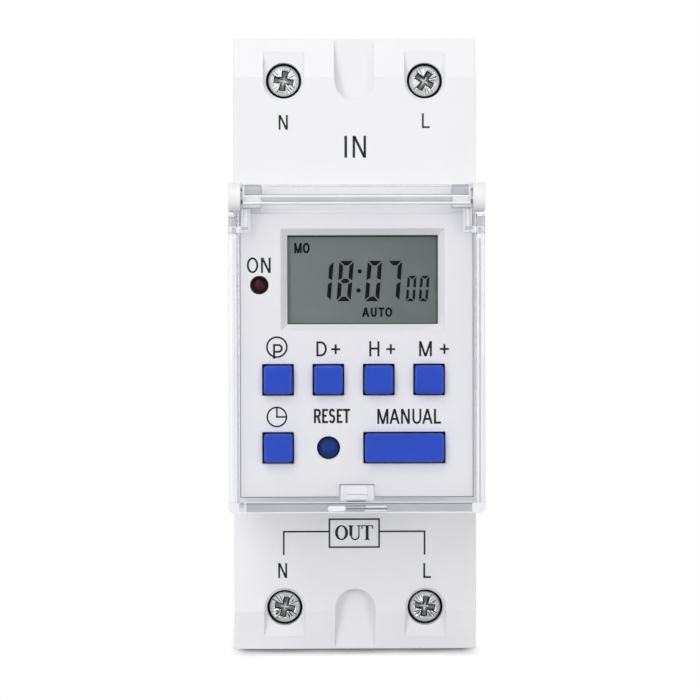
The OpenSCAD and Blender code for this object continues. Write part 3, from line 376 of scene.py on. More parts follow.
def printed_line(shape, points, width, depth):
    """A line of even width along points in x and z (mm), a thin solid just proud of a surface at this y."""
    looped = points[0] == points[-1]
    path = [Vector(p) for p in (points[:-1] if looped else points)]
    # Least cosine of half a turn, so that sharp corners don't reach out far
    mitre_limit = 0.35
    rows = []
    for i, here in enumerate(path):
        ways = []
        if i or looped:
            ways.append(here - path[i - 1])
        if i + 1 < len(path) or looped:
            ways.append(path[(i + 1) % len(path)] - here)
        sides = [Vector((-way.y, way.x)).normalized() for way in ways]
        out = sum(sides, Vector((0, 0))).normalized()
        out *= width / 2 / max(out.dot(sides[0]), mitre_limit)
        front, back = (corners(shape, (here + out, here - out), y) for y in (depth - INK_T, depth + INK_T))
        rows.append(front + back[::-1])
    walls(shape, closed(rows) if looped else rows, capped=not looped)


def printed_patch(shape, outline, depth, proud=INK_T):
    """A filled outline in x and z (mm), just proud of a surface at this y."""
    walls(shape, [corners(shape, outline, y) for y in (depth - proud, depth + INK_T)], capped=True)


def printed_block(shape, x0, z0, x1, z1, depth, proud=INK_T):
    """A filled rectangle."""
    printed_patch(shape, [(x0, z0), (x1, z0), (x1, z1), (x0, z1)], depth, proud)


# Plain upright letters, drawn as lines in a box one unit wide and high
LETTERS = {
    "I": [[(0.5, 0), (0.5, 1)]],
    "L": [[(0, 1), (0, 0), (1, 0)]],
    "N": [[(0, 0), (0, 1)], [(1, 0), (1, 1)], [(0, 1), (1, 0)]],
    "O": [closed(arc(0.5, 0.5, 0.5, 0.5, 0, 345, 23))],
    "D": [closed([(0, 0), (0, 1)] + arc(0.4, 0.5, 0.6, 0.5, 90, -90, 14))],
    "H": [[(0, 0), (0, 1)], [(1, 0), (1, 1)], [(0, 0.52), (1, 0.52)]],
    "M": [[(0, 0), (0, 1)], [(1, 0), (1, 1)], [(0, 1), (0.5, 0)], [(1, 1), (0.5, 0)]],
    "P": [[(0, 0), (0, 1)] + arc(0.58, 0.735, 0.42, 0.265, 90, -90, 10) + [(0, 0.47)]],
    "R": [[(0, 0), (0, 1)] + arc(0.6, 0.74, 0.36, 0.26, 90, -90, 10) + [(0, 0.48)], [(0.55, 0.48), (1, 0)]],
    "E": [[(1, 1), (0, 1), (0, 0), (1, 0)], [(0, 0.52), (0.9, 0.52)]],
    "S": [arc(0.5, 0.76, 0.46, 0.24, 20, 270, 14) + arc(0.5, 0.26, 0.5, 0.26, 90, -160, 14)[1:]],
    "T": [[(0, 1), (1, 1)], [(0.5, 1), (0.5, 0)]],
    "A": [[(0, 0), (0.5, 1)], [(1, 0), (0.5, 1)], [(0.17, 0.3), (0.83, 0.3)]],
    "U": [[(0, 1)] + arc(0.5, 0.32, 0.5, 0.32, 180, 360, 12) + [(1, 1)]],
    "+": [[(0, 0.5), (1, 0.5)], [(0.5, 0), (0.5, 1)]],
}


def letter(shape, sign, x0, x1, z0, z1, width, depth):
    """One letter whose ink fills a box in mm."""
    half, wide, high = width / 2, x1 - x0, z1 - z0
    across, up = wide - width, high - width
    for line in LETTERS[sign]:
        (u0, v0), (u1, v1) = line[0], line[-1]
        if len(line) == 2 and u0 != u1 and v0 != v1:
            # A slanting stroke ends level with the letter's foot and head
            lean = half * math.hypot(across * (u1 - u0), up * (v1 - v0)) / abs(up * (v1 - v0))
            (ax, az), (bx, bz) = ((x0 + lean + u * (wide - 2 * lean), z0 + v * high) for u, v in line)
            printed_patch(shape, [(ax - lean, az), (ax + lean, az), (bx + lean, bz), (bx - lean, bz)],
                          depth)
            continue
        spots = [Vector((x0 + half + u * across, z0 + half + v * up)) for u, v in line]
        if line[0] != line[-1]:
            # Upright and level strokes run out to the edge of the box
            for end, beside in ((0, 1), (-1, -2)):
                way = (spots[end] - spots[beside]).normalized()
                straight = max(abs(way.x), abs(way.y)) > 0.99
                if straight and {round(v, 6) for v in line[end]} & {0.0, 1.0}:
                    spots[end] = spots[end] + way * half
        printed_line(shape, [tuple(spot) for spot in spots], width, depth)


def printed_shoulders():
    """Terminal letters, IN, and OUT in its box with lines to the outgoing terminals."""
    shape = bmesh.new()
    for sign_box in (
            ("N", -10.93, -9.61, 31.09, 33.22, 0.27), ("L", 9.76, 10.9, 31.31, 33.44, 0.27),
            ("I", -1.43, -1.08, 27.05, 30.21, 0.38), ("N", -0.26, 1.68, 27.05, 30.21, 0.36),
            ("N", -11.16, -9.87, -33.77, -31.59, 0.27), ("L", 9.88, 11.0, -33.85, -31.66, 0.27)):
        letter(shape, *sign_box, SHOULDER)
    line = 0.24
    left, right, head, foot, wire_z, wire_end = -3.73, 3.47, -25.26, -29.32, -27.05, -30.45
    for points in (closed([(left, head), (right, head), (right, foot), (left, foot)]),
                   [(left, wire_z), (-10.34, wire_z), (-10.34, wire_end)],
                   [(right, wire_z), (10.06, wire_z), (10.06, wire_end)]):
        printed_line(shape, points, line, SHOULDER)
    serif_out(shape, -2.92, -28.28, 2.13)
    piece("legend_shoulders", shape, "housing", ["ink"])


def serif_out(shape, x0, z0, height):
    """OUT in a book face: thick and thin strokes with fine serifs."""
    mid, top, fine, stem, steps = z0 + height / 2, z0 + height, 0.17, 0.42, 40
    outer = arc(x0 + 0.95, mid, 0.95, height / 2 + 0.02, 0, 360, steps)[:-1]
    inner = arc(x0 + 0.95, mid, 0.52, height / 2 - 0.17, 0, 360, steps)[:-1]
    for i in range(steps):
        k = (i + 1) % steps
        printed_patch(shape, [outer[i], outer[k], inner[k], inner[i]], SHOULDER)
    left, right = x0 + 2.3, x0 + 3.42
    bowl = arc((left + right) / 2 + 0.05, z0 + 0.62, (right - left) / 2, 0.56, 180, 360, 14)
    printed_line(shape, bowl, 0.2, SHOULDER)
    bar0, bar1 = x0 + 3.82, x0 + 5.51
    middle = (bar0 + bar1) / 2
    for block in (
            # U: thick and thin stem with their serifs
            (left - stem / 2, z0 + 0.6, left + stem / 2, top),
            (right - fine / 2 + 0.05, z0 + 0.6, right + fine / 2 + 0.05, top),
            (left - 0.36, top - fine, left + 0.36, top), (right - 0.22, top - fine, right + 0.32, top),
            # T: stem, bar with its two drops, and foot
            (middle - stem / 2, z0, middle + stem / 2, top), (bar0, top - 0.15, bar1, top),
            (bar0, top - 0.5, bar0 + fine, top), (bar1 - fine, top - 0.5, bar1, top),
            (middle - 0.36, z0, middle + 0.36, z0 + fine)):
        printed_block(shape, *block, SHOULDER)


def printed_face():
    """Key legends, ON beside the lamp, P in a ring and the clock sign."""
    shape = bmesh.new()
    small, regular, heavy = 0.28, 0.29, 0.31
    for sign_box in (
            ("O", -15.45, -13.84, 10.53, 12.77, small), ("N", -13.46, -12.09, 10.56, 12.73, small),
            ("D", -5.69, -4.21, -1.21, 0.91, regular), ("+", -3.6, -2.34, -0.9, 0.49, small),
            ("H", 1.76, 3.2, -1.23, 0.92, regular), ("+", 4.17, 5.43, -0.9, 0.49, small),
            ("M", 8.79, 10.59, -1.23, 0.92, regular), ("+", 11.72, 12.99, -0.9, 0.49, small),
            ("R", -6.06, -5.04, -10.63, -8.6, heavy), ("E", -4.91, -4.06, -10.62, -8.61, heavy),
            ("S", -3.96, -3.04, -10.66, -8.56, heavy), ("E", -2.84, -2.02, -10.62, -8.61, heavy),
            ("T", -1.95, -0.95, -10.62, -8.61, heavy),
            ("M", 2.88, 4.45, -10.75, -8.63, regular), ("A", 4.58, 6.04, -10.75, -8.63, regular),
            ("N", 6.22, 7.47, -10.75, -8.63, regular), ("U", 7.82, 9.1, -10.77, -8.63, regular),
            ("A", 9.2, 10.7, -10.75, -8.63, regular), ("L", 10.86, 11.87, -10.75, -8.63, heavy),
            ("P", -11.79, -10.42, -1.53, 0.55, small)):
        letter(shape, *sign_box, FACE)
    # Middle, radius and line of the clock
    x, z, r, hand = -11.27, -9.73, 1.35, 0.23
    for points, thick in ((ring(-11.25, 0.115, 1.4), 0.25), (ring(x, z, r), hand),
                          ([(x, z + r), (x, z), (x + r, z)], hand)):
        printed_line(shape, points, thick, FACE)
    piece("legend_face", shape, "housing", ["ink"])


def face_seam():
    """Painted shadow: a fine dark line where the face plate meets the shell."""
    shape = bmesh.new()
    low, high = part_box("face_plate")
    x0, x1, z0, z1 = (v / MM for v in (low.x, high.x, low.z, high.z))
    edge, gap = 0.05, 2.5
    for points in ([(x0 + edge, z1 - 0.1), (x0 + edge, z0 + edge), (-gap, z0 + edge)],
                   [(gap, z0 + edge), (x1 - edge, z0 + edge), (x1 - edge, z1 - 0.1)]):
        printed_line(shape, points, 0.1, FACE)
    piece("face_seam", shape, "housing", ["seam"])


# Segments lit in each digit, by their usual letters, and how far the digits lean
DIGITS = {"0": "abcdef", "1": "bc", "7": "abc", "8": "abcdefg"}
SLANT = 0.079


def digit(shape, value, x0, z0, width, height, stem, bar, gap):
    """Lit segments of one slanting digit, mitred where they meet, in mm."""
    mid, wide, high = height / 2, gap * 0.8, gap * 1.2
    top = [(wide, height), (width - wide, height), (width - wide - bar, height - bar),
           (wide + bar, height - bar)]
    left = [(0, height - high), (stem, height - high - stem), (stem, mid + bar / 2 + gap * 0.7),
            (0, mid + gap * 0.9)]
    nose = 0.62 * stem + gap * 0.2
    middle = [(nose, mid), (nose + bar / 2, mid + bar / 2), (width - nose - bar / 2, mid + bar / 2),
              (width - nose, mid), (width - nose - bar / 2, mid - bar / 2), (nose + bar / 2, mid - bar / 2)]

    def over(points):
        return [(width - x, z) for x, z in points]

    def under(points):
        return [(x, height - z) for x, z in points]

    segments = {"a": top, "b": over(left), "c": over(under(left)), "d": under(top),
                "e": under(left), "f": left, "g": middle}
    for name in DIGITS[value]:
        printed_patch(shape, [(x0 + x + SLANT * z, z0 + z) for x, z in segments[name]], GLASS)


def display_segments():
    """Time, day and mode as the dark segments of the liquid crystal."""
    shape = bmesh.new()
    for value, x0 in (("1", -5.67), ("8", -2.82), ("0", 1.18), ("7", 4.03)):
        digit(shape, value, x0, 6.53, 2.02, 5.7, 0.57, 0.64, 0.14)
    for x0 in (6.98, 8.8):
        digit(shape, "0", x0, 6.51, 1.26, 3.58, 0.36, 0.4, 0.1)
    # Colon
    for x, z in ((0.485, 10.75), (0.305, 8.055)):
        printed_patch(shape, arc(x, z, 0.31, 0.31, 0, 360, 24)[:-1], GLASS)
    regular, narrow = 0.28, 0.26
    for sign_box in (("M", -8.78, -7.7, 13.32, 14.78, narrow), ("O", -7.57, -6.57, 13.3, 14.8, regular),
                     ("A", 0.78, 1.84, 4.31, 5.64, regular), ("U", 2.02, 2.88, 4.29, 5.64, regular),
                     ("T", 3.1, 3.95, 4.31, 5.64, regular), ("O", 4.05, 5.07, 4.3, 5.65, regular)):
        letter(shape, *sign_box, GLASS)
    piece("display_segments", shape, "housing", ["segments"])


def display_border():
    """Dark edge of the cell where its seal shows inside the window, drawn widest at the top as painted
    shadow of the window's edge.
    """
    shape = bmesh.new()
    low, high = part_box("lcd_glass")
    lap = 1.25
    x0, x1 = low.x / MM + lap, high.x / MM - lap
    z0, z1 = low.z / MM + lap, high.z / MM - lap
    for block in ((x0, z1 - 0.26, x1, z1 + 0.1), (x1 - 0.16, z0, x1 + 0.1, z1),
                  (x0, z0 - 0.1, x1, z0 + 0.12), (x0 - 0.1, z0, x0 + 0.06, z1)):
        printed_block(shape, *block, GLASS, INK_T / 2)
    piece("display_border", shape, "housing", ["border"])


# ------------------------------------------------------------------ keys, screws and spring

def key_cap(name, slot):
    """Moulded key with a soft top edge, over its skirt darkened by painted shade, flange and stem; the
    round one is domed.
    """
    low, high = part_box(name)
    cx, cz = (low.x + high.x) / 2 / MM, (low.z + high.z) / 2 / MM
    half_x, half_z = (high.x - low.x) / 2 / MM, (high.z - low.z) / 2 / MM
    front, back, face = low.y / MM, high.y / MM, FACE / MM
    flange, gap, flange_t, flange_top, edge, stem_r = 0.45, 0.08, 0.7, face + 1.8, 0.26, 1.4
    is_round = name == "key_reset"
    corner = half_x - flange - gap if is_round else 0.42
    shape = bmesh.new()
    rows = []

    def row(grow, depth):
        """The cap's outline, grown by so much, at this depth."""
        wide, high_up = half_x - flange - gap + grow, half_z - flange - gap + grow
        r = min(max(corner + grow, 0.12), min(wide, high_up) - 0.001)
        rows.append(corners(shape, rounded(cx, cz, wide, high_up, r, 8), depth * MM))

    if is_round:
        dome_r, rise = 3.0, 0.02
        for r in (share * corner for share in (0.15, 0.4, 0.65, 0.85)):
            row(r - corner, front + dome_r - math.sqrt(dome_r ** 2 - r * r))
    else:
        rise = 0.0
        row(-edge - 0.5, front + 0.012)
    for inset, drop in soft_edge(edge, 90, 60, 30, 0):
        row(-inset, front + drop + rise)
    row(0.0, max(face, front + edge) + 0.12)
    skirt = len(rows) - 1
    row(0.0, flange_top)
    for depth in (flange_top, flange_top + flange_t):
        row(flange + gap, depth)
    walls(shape, rows[:skirt + 1])
    # Below the face the key wears its skirt's painted shade
    walls(shape, rows[skirt:], 1)
    for end in (rows[0], rows[-1]):
        shape.faces.new(end)
    stem = [(cx + x, cz + z) for x, z in arc(0, 0, stem_r, stem_r, 0, 360, 36)[:-1]]
    walls(shape, [corners(shape, stem, y * MM) for y in (flange_top + flange_t - 0.01, back)], capped=True)
    made = piece(name.replace("key_", "keycap_"), shape, name.replace("key_", "") + "_key",
                 (slot, "key_skirt"), 35)
    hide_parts(name)


# Cross recess of a terminal screw in mm: one arm with a flared end, then a rounded corner to the next
HALF_ARM = [(0.42, 0.72), (0.44, 1.05), (0.47, 1.38), (0.42, 1.46), (0.22, 1.49), (0.0, 1.5)]
ARM = HALF_ARM + [(-x, z) for x, z in HALF_ARM[-2::-1]]
CORNER = [((1 - t) ** 2 * -0.42 + 2 * t * (1 - t) * -0.43 + t * t * -0.72,
           (1 - t) ** 2 * 0.72 + 2 * t * (1 - t) * 0.43 + t * t * 0.42)
          for t in (i / 9 for i in range(1, 9))]
# Depth of the radial press marks beside each of those points, as a share of the deepest
GROOVES = [0.0, 0.6, 0.0, 0.0, 0.0, 0.0, 0.0, 0.0, 0.0, 0.7, 0.0, 0.0, 0.9, 0.9, 0.0, 0.0, 1.0, 0.5, 0.0]
HEAD_R, HEAD_T = 2.22, 1.4
THREAD_R, THREAD_DEPTH, PITCH = 1.5, 0.26, 0.5


def terminal_screw(name, turn):
    """Pressed and plated screw: coned head with radial press marks, flared cross and rolled thread."""
    low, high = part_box("terminal_screw_" + name)
    cx, cz = (low.x + high.x) / 2 / MM, (low.z + high.z) / 2 / MM
    top = -low.y / MM
    cross = []
    for quarter in range(4):
        a = math.radians(90 * quarter)
        cross += [Vector((x * math.cos(a) - z * math.sin(a), x * math.sin(a) + z * math.cos(a)))
                  for x, z in ARM + CORNER]
    per_arm = len(GROOVES)
    marks = [math.sin(7.3 * i + 2.1 * turn) * math.sin(3.7 * i + turn) for i in range(len(cross))]
    swing = Matrix.Rotation(-math.radians(turn), 2)
    shape = bmesh.new()

    def loop(points, depth):
        """A row of corners at these places and at one depth, or a list of depths, below the top."""
        depths = depth if isinstance(depth, list) else [depth] * len(points)
        made = []
        for spot, drop in zip(points, depths):
            spot = swing @ spot
            made.append(shape.verts.new(((cx + spot.x) * MM, -(top - drop) * MM, (cz + spot.y) * MM)))
        return made

    def inset(width):
        """The cross outline moved inwards."""
        moved = []
        for i, spot in enumerate(cross):
            way = (cross[(i + 1) % len(cross)] - cross[i - 1]).normalized()
            moved.append(spot + Vector((-way.y, way.x)) * width)
        return moved

    rim = [spot.normalized() * HEAD_R for spot in cross]
    rings = [loop(rim, HEAD_T), loop(rim, 0.48), loop([s * 0.985 for s in rim], 0.38)]
    # Cone that rises from the rim to the recess, with the press marks sunk in it
    cone, crown, mark_depth = 0.2, 0.04, 0.13
    steps = 7
    for i in range(steps):
        t = i / (steps - 1)
        spots, drops = [], []
        for k, spot in enumerate(cross):
            spot = (rim[k] * 0.965).lerp(spot + spot.normalized() * 0.12, t)
            inside = math.sin(math.pi * min(max((spot.length - 0.75) / 1.35, 0.0), 1.0))
            dent = mark_depth * GROOVES[k % per_arm] * (0.7 + 0.5 * marks[k // per_arm * per_arm]) * inside
            spots.append(spot)
            drops.append(crown + cone * (spot.length - 0.7) + dent + 0.012 * marks[k] * inside)
        rings.append(loop(spots, drops))
    edge_depth = [0.12 + cone * (s.length - 0.7) for s in cross]
    rings.append(loop(cross, edge_depth))
    recess = len(rings) - 1
    rings += [loop(inset(0.01), [d + 0.05 for d in edge_depth]), loop(inset(0.1), 0.8),
              loop(inset(0.13), [0.94 + 0.05 * m for m in marks]),
              loop([s * 0.55 for s in inset(0.13)], [0.98 + 0.05 * m for m in marks[::-1]]),
              loop([s * 0.2 for s in cross], 1.1)]
    for level, pair in enumerate(zip(rings, rings[1:])):
        for i, face in enumerate(walls(shape, pair, int(level >= recess))):
            # Creases run out from the recess between its arms, darkened with the recess's painted shade;
            # each press mark has its own reach
            if (i % per_arm in (1, 12, 16) and marks[i] > -0.6
                    and max(3, 4 + 2 * marks[i]) <= level < recess):
                face.material_index = 1
    shape.faces.new(rings[-1]).material_index = 1
    # Rolled thread below the head, in quarter pitches
    around, length = 24, high.y / MM + top - HEAD_T
    rows = []
    count = int(length / (PITCH / 4))
    for row in range(count + 1):
        y = HEAD_T + length * row / count
        spots = []
        for i in range(around):
            phase = (y / PITCH + i / around) % 1.0
            r = THREAD_R - THREAD_DEPTH * abs(2 * phase - 1) * (1 if 0 < row < count else 0)
            spots.append(Vector((math.cos(math.tau * i / around), math.sin(math.tau * i / around))) * r)
        rows.append(loop(spots, y))
    walls(shape, rows)
    shape.faces.new(rows[-1])
    bmesh.ops.bridge_loops(shape, edges=[e for e in shape.edges if e.is_boundary])
    made = piece("screw_" + name, shape, "screw_" + name, ("screw_steel", "recess"), 38)
    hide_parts("terminal_screw_" + name)
    return cx, cz, top


def black_bore_ring(name, cx, cz, top):
    """Thin black ring in the bore, just under the screw head."""
    shape = bmesh.new()
    front, back = (-(top - HEAD_T - below) * MM for below in (0.02, 0.09))
    bore, outside = 1.6, 2.56
    rings = [corners(shape, ring(cx, cz, r)[:-1], y)
             for r, y in ((bore, front), (outside, front), (outside, back), (bore, back))]
    walls(shape, closed(rings))
    piece("washer_" + name, shape, "housing", ["washer"])


def clip_coil():
    """Wire spring behind the clip, with closed flat ends."""
    low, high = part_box("clip_spring")
    middle, wire = (low + high) / 2, 0.4 * MM
    turns, steps, sides = 7, 30, 10
    radius, length = (high.x - low.x - wire) / 2, high.z - low.z
    pitch = (length - 3 * wire) / (turns - 2)
    shape = bmesh.new()
    rows = []
    for i in range(turns * steps + 1):
        turn = i / steps
        rise = min(turn, 1.0) * wire + max(min(turn, turns - 1.0) - 1.0, 0.0) * pitch
        rise += max(turn - (turns - 1.0), 0.0) * wire
        around = math.tau * turn
        row = []
        for a in (math.tau * k / sides for k in range(sides)):
            r = radius + wire / 2 * math.cos(a)
            z = low.z + wire / 2 + rise + wire / 2 * math.sin(a)
            row.append(shape.verts.new((middle.x + r * math.cos(around), middle.y - r * math.sin(around),
                                        min(max(z, low.z + wire / 5), high.z - wire / 5))))
        rows.append(row)
    walls(shape, rows, capped=True)
    made = piece("clip_coil", shape, "housing", ["spring_steel"], 40)
    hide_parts("clip_spring")
    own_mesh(made)


# ------------------------------------------------------------------ cover

# Finishes of the cover by their place in its list, and the least half width and corner radius in mm
COVER_SKINS = ("clear_plastic", "clear_thick", "clear_milky", "clear_grey", "seam")
CLEAR, THICK, MILKY_LIGHT, GREY_SHADE, SHADOW_LINE = range(5)
LEAST_HALF, LEAST_R = 0.025, 0.02


def cover_bar(shape, x0, x1, front, back, low, high, edge, skin, end=0.1):
    """A rod along x (mm) between two depths and two heights: a rounded profile with softened ends."""
    half_d, half_z = (front - back) / 2, (high - low) / 2
    rows = []
    for x, inset in ((x0, end), (x0 + end, 0), (x1 - end, 0), (x1, end)):
        inset = min(inset, half_d - LEAST_HALF, half_z - LEAST_HALF)
        profile = rounded((front + back) / 2, (low + high) / 2, half_d - inset, half_z - inset,
                          max(edge - inset, LEAST_R), 4)
        rows.append([shape.verts.new((x * MM, -d * MM, z * MM)) for d, z in profile])
    walls(shape, rows, skin, capped=True)


def cover_pad(shape, x0, x1, z0, z1, front, back, corner, edge, skin):
    """A block (mm) with rounded corners, seen from the front, and a soft front edge."""
    half_x, half_z, crown = (x1 - x0) / 2, (z1 - z0) / 2, edge + 0.03
    share = min(1.0, (min(half_x, half_z) - LEAST_HALF) / crown)
    steps = [(0.0, back)] + [(inset, front - drop) for inset, drop in soft_edge(edge, 0, 30, 60, 90)]
    rows = []
    for inset, d in steps + [(crown, front)]:
        inset *= share
        rows.append(corners(shape, rounded((x0 + x1) / 2, (z0 + z1) / 2, half_x - inset, half_z - inset,
                                           max(corner - inset, LEAST_R), 6), -d * MM))
    walls(shape, rows, skin, capped=True)


def cover_tray(shape):
    """Front sheet with side and lower walls in one: round lower corners and a soft front edge."""
    half, wall, foot, top, crown = 18.0, 1.1, -23.15, 18.85, 19.5
    back, front, inner, neck = 54.0, 60.5, 59.4, 16.05
    outer_r, inner_r, soft, inner_soft, lip = 0.8, 1.3, 0.4, 0.3, 0.12

    def row(inset, corner, d):
        """From the top left down, round and up to the top right."""
        x, z, r = half - inset, foot + inset, max(corner - inset, 0.15)
        sides = arc(r - x, z + r, r, r, 180, 270, 8) + arc(x - r, z + r, r, r, 270, 360, 8)
        return corners(shape, [(-x, top)] + sides + [(x, top)], -d * MM)

    outer = [row(lip, outer_r, back), row(0, outer_r, back + lip)]
    outer += [row(inset, outer_r, front - drop) for inset, drop in soft_edge(soft, 0, 22, 45, 67, 90)]
    outer.append(row(soft + 0.04, outer_r, front))
    inside = [row(wall, inner_r, back)]
    inside += [row(wall + inset, inner_r, inner - drop)
               for inset, drop in soft_edge(inner_soft, 0, 30, 60, 90)]
    inside.append(row(wall + inner_soft + 0.04, inner_r, inner))
    tab = [(-neck, top), (-neck, crown), (neck, crown), (neck, top)]
    tab_front, tab_back = (corners(shape, tab, -d * MM) for d in (front, inner))
    for rows in (outer, inside, (outer[0], inside[0]), (tab_front, tab_back)):
        walls(shape, rows, around=False)
    shape.faces.new(outer[-1] + tab_front[::-1])
    shape.faces.new(inside[-1] + tab_back[::-1])
    for end in (0, -1):
        shape.faces.new([rows[end] for rows in outer] + [tab_front[end], tab_back[end]]
                        + [rows[end] for rows in reversed(inside)])
    # The lower wall is the thick one: it shades the shoulder below it
    shape.normal_update()
    for face in shape.faces:
        if abs(face.normal.z) > 0.7 and face.calc_center_median().z < 0:
            face.material_index = THICK


def hinged_cover():
    """The clear cover: tray, hinge bars with their knuckles and brackets, latch hook and thumb lip."""
    shape = bmesh.new()
    cover_tray(shape)
    # Hinge bars: a clear upper lip, a milky ridge as a painted highlight and a deeper rib grey with painted
    # shade.
    # In mm: half length, front, back, low, high, edge, finish
    for x, *rest in (
            (13.25, 59.7, 58.6, 22.62, 22.92, 0.12, CLEAR), (13.25, 59.5, 59.0, 21.5, 21.64, 0.06, GREY_SHADE),
            (16.0, 60.3, 60.12, 21.22, 21.44, 0.07, MILKY_LIGHT), (13.25, 60.2, 59.6, 20.55, 21.16, 0.2, GREY_SHADE),
            (15.95, 60.2, 59.6, 20.27, 20.52, 0.1, MILKY_LIGHT), (15.95, 60.15, 59.6, 20.1, 20.2, 0.04, GREY_SHADE),
            (13.25, 60.2, 59.45, 19.5, 20.04, 0.12, CLEAR)):
        cover_bar(shape, -x, x, *rest)
    for side in (-1, 1):
        # Knuckle: clear, grey with painted shade where it is thick, milky below as painted light, with
        # painted shadow lines as the shoulders of its pin
        # In mm from x to x: front, back, low, high, edge, finish
        for x0, x1, *rest in (
                (13.3, 16.05, 60.1, 57.0, 19.55, 22.98, 0.7, CLEAR),
                (13.4, 15.66, 59.6, 57.6, 21.52, 22.5, 0.15, GREY_SHADE),
                (13.45, 15.66, 59.5, 57.4, 19.9, 21.2, 0.15, MILKY_LIGHT),
                (15.7, 15.98, 59.7, 57.6, 19.8, 22.6, 0.1, MILKY_LIGHT),
                (13.28, 13.38, 59.9, 59.5, 19.9, 22.5, 0.04, GREY_SHADE),
                (15.98, 16.26, 59.5, 59.2, 22.05, 22.41, 0.08, SHADOW_LINE),
                (15.98, 16.26, 59.5, 59.2, 20.23, 20.86, 0.08, SHADOW_LINE)):
            cover_bar(shape, *sorted((side * x0, side * x1)), *rest, end=0.04)
        # Bracket that stiffens the corner, its foot with a round button, and pale strips in the side wall;
        # milky pads are painted highlights, grey ones painted shade and the dark line a painted shadow
        # In mm from x to x, from z to z: front, back, corner, edge, finish
        for x0, x1, *rest in (
                (15.95, 16.15, 17.15, 19.85, 59.36, 58.4, 0.08, 0.06, MILKY_LIGHT),
                (14.97, 15.2, 16.2, 19.85, 59.36, 58.4, 0.08, 0.06, MILKY_LIGHT),
                (15.24, 15.91, 16.2, 19.85, 59.2, 58.0, 0.1, 0.1, MILKY_LIGHT),
                (15.2, 16.25, 16.62, 17.06, 59.38, 58.9, 0.1, 0.06, GREY_SHADE),
                (15.15, 16.0, 16.3, 16.5, 59.36, 58.9, 0.08, 0.06, MILKY_LIGHT),
                (16.0, 17.6, 16.18, 17.1, 59.3, 58.4, 0.2, 0.1, MILKY_LIGHT),
                (16.28, 16.9, 16.3, 16.92, 59.36, 58.6, 0.31, 0.12, MILKY_LIGHT),
                (16.95, 17.55, 16.1, 17.0, 59.34, 58.6, 0.15, 0.06, GREY_SHADE),
                (16.95, 17.85, 17.15, 18.33, 59.3, 58.9, 0.1, 0.1, GREY_SHADE),
                (16.95, 17.85, 18.37, 18.45, 59.3, 59.0, 0.03, 0.03, SHADOW_LINE),
                (16.84, 17.66, -21.74, 16.0, 59.3, 58.9, 0.1, 0.1, MILKY_LIGHT),
                (17.15, 17.4 if side > 0 else 17.2, -21.74, 15.4, 59.36, 59.25, 0.02, 0.02, GREY_SHADE),
                (17.76, 17.92, -21.74, 16.0, 59.3, 58.9, 0.05, 0.05, MILKY_LIGHT)):
            cover_pad(shape, *sorted((side * x0, side * x1)), *rest)
    for block in (
            # Latch: a milky block, painted pale, with the hook that snaps into the notch under the face,
            # and a painted shadow line below
            (-2.35, 2.4, -21.6, -19.35, 58.9, 57.55, 0.15, 0.12, MILKY_LIGHT),
            (-1.55, 1.5, -20.58, -19.45, 59.36, 58.95, 0.1, 0.1, MILKY_LIGHT),
            (-1.55, 1.5, -21.36, -20.68, 59.3, 58.95, 0.1, 0.1, MILKY_LIGHT),
            (-1.45, 1.2, -21.58, -21.46, 59.36, 59.0, 0.05, 0.04, SHADOW_LINE),
            (-1.4, 1.4, -21.42, -20.9, 57.5, 56.0, 0.1, 0.1, CLEAR),
            # Thumb lip: clear, milky at its left and upper right edge as painted highlights, with a painted
            # shadow line where it meets the wall
            (-4.5, 4.4, -22.95, -22.05, 61.0, 60.52, 0.45, 0.3, CLEAR),
            (-4.15, -1.7, -22.84, -22.16, 60.9, 60.6, 0.3, 0.1, MILKY_LIGHT),
            (-1.5, 4.15, -22.54, -22.43, 60.9, 60.6, 0.05, 0.04, SHADOW_LINE),
            (1.2, 4.1, -22.34, -22.14, 60.9, 60.6, 0.08, 0.08, MILKY_LIGHT),
            (1.0, 4.0, -22.84, -22.66, 60.9, 60.6, 0.08, 0.08, MILKY_LIGHT),
            # Deeper lower wall grey with painted shade, between fine painted shadow lines, with milky
            # bright edges above and below as painted highlights
            (-15.6, 16.1, -22.94, -21.8, 59.35, 58.6, 0.1, 0.08, GREY_SHADE),
            (-15.6, 16.1, -21.9, -21.84, 59.38, 59.2, 0.02, 0.02, SHADOW_LINE),
            (-15.6, 16.1, -22.93, -22.87, 59.38, 59.2, 0.02, 0.02, SHADOW_LINE),
            (-15.9, 16.1, -21.76, -21.6, 59.35, 59.0, 0.06, 0.05, MILKY_LIGHT),
            (-16.7, 16.7, -23.13, -22.98, 60.52, 60.2, 0.06, 0.05, MILKY_LIGHT),
            # Corner blocks: grey with painted shade, milky as painted highlights
            (-16.43, -15.92, -22.43, -21.75, 59.35, 58.8, 0.1, 0.06, GREY_SHADE),
            (-15.86, -15.66, -22.9, -21.8, 59.36, 58.8, 0.08, 0.06, MILKY_LIGHT),
            (16.15, 17.85, -22.95, -21.75, 59.36, 58.6, 0.25, 0.1, MILKY_LIGHT),
            (-17.85, -16.5, -22.95, -21.75, 59.36, 58.6, 0.25, 0.1, MILKY_LIGHT)):
        cover_pad(shape, *block)
    made = piece("hinged_cover", shape, "cover", COVER_SKINS, 30)
    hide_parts("clear_cover")


hinged_cover()
clip_coil()
face_seam()
for name, turn in (("in_n", 10), ("in_l", 32), ("out_n", 12.5), ("out_l", 8.5)):
    black_bore_ring(name, *terminal_screw(name, turn))
printed_shoulders()
printed_face()
display_segments()
display_border()
for part in frame["record"]["subparts"]:
    if part["node"].startswith("key_"):
        key_cap(part["node"], part["material_slot"])


# ------------------------------------------------------------------ studio

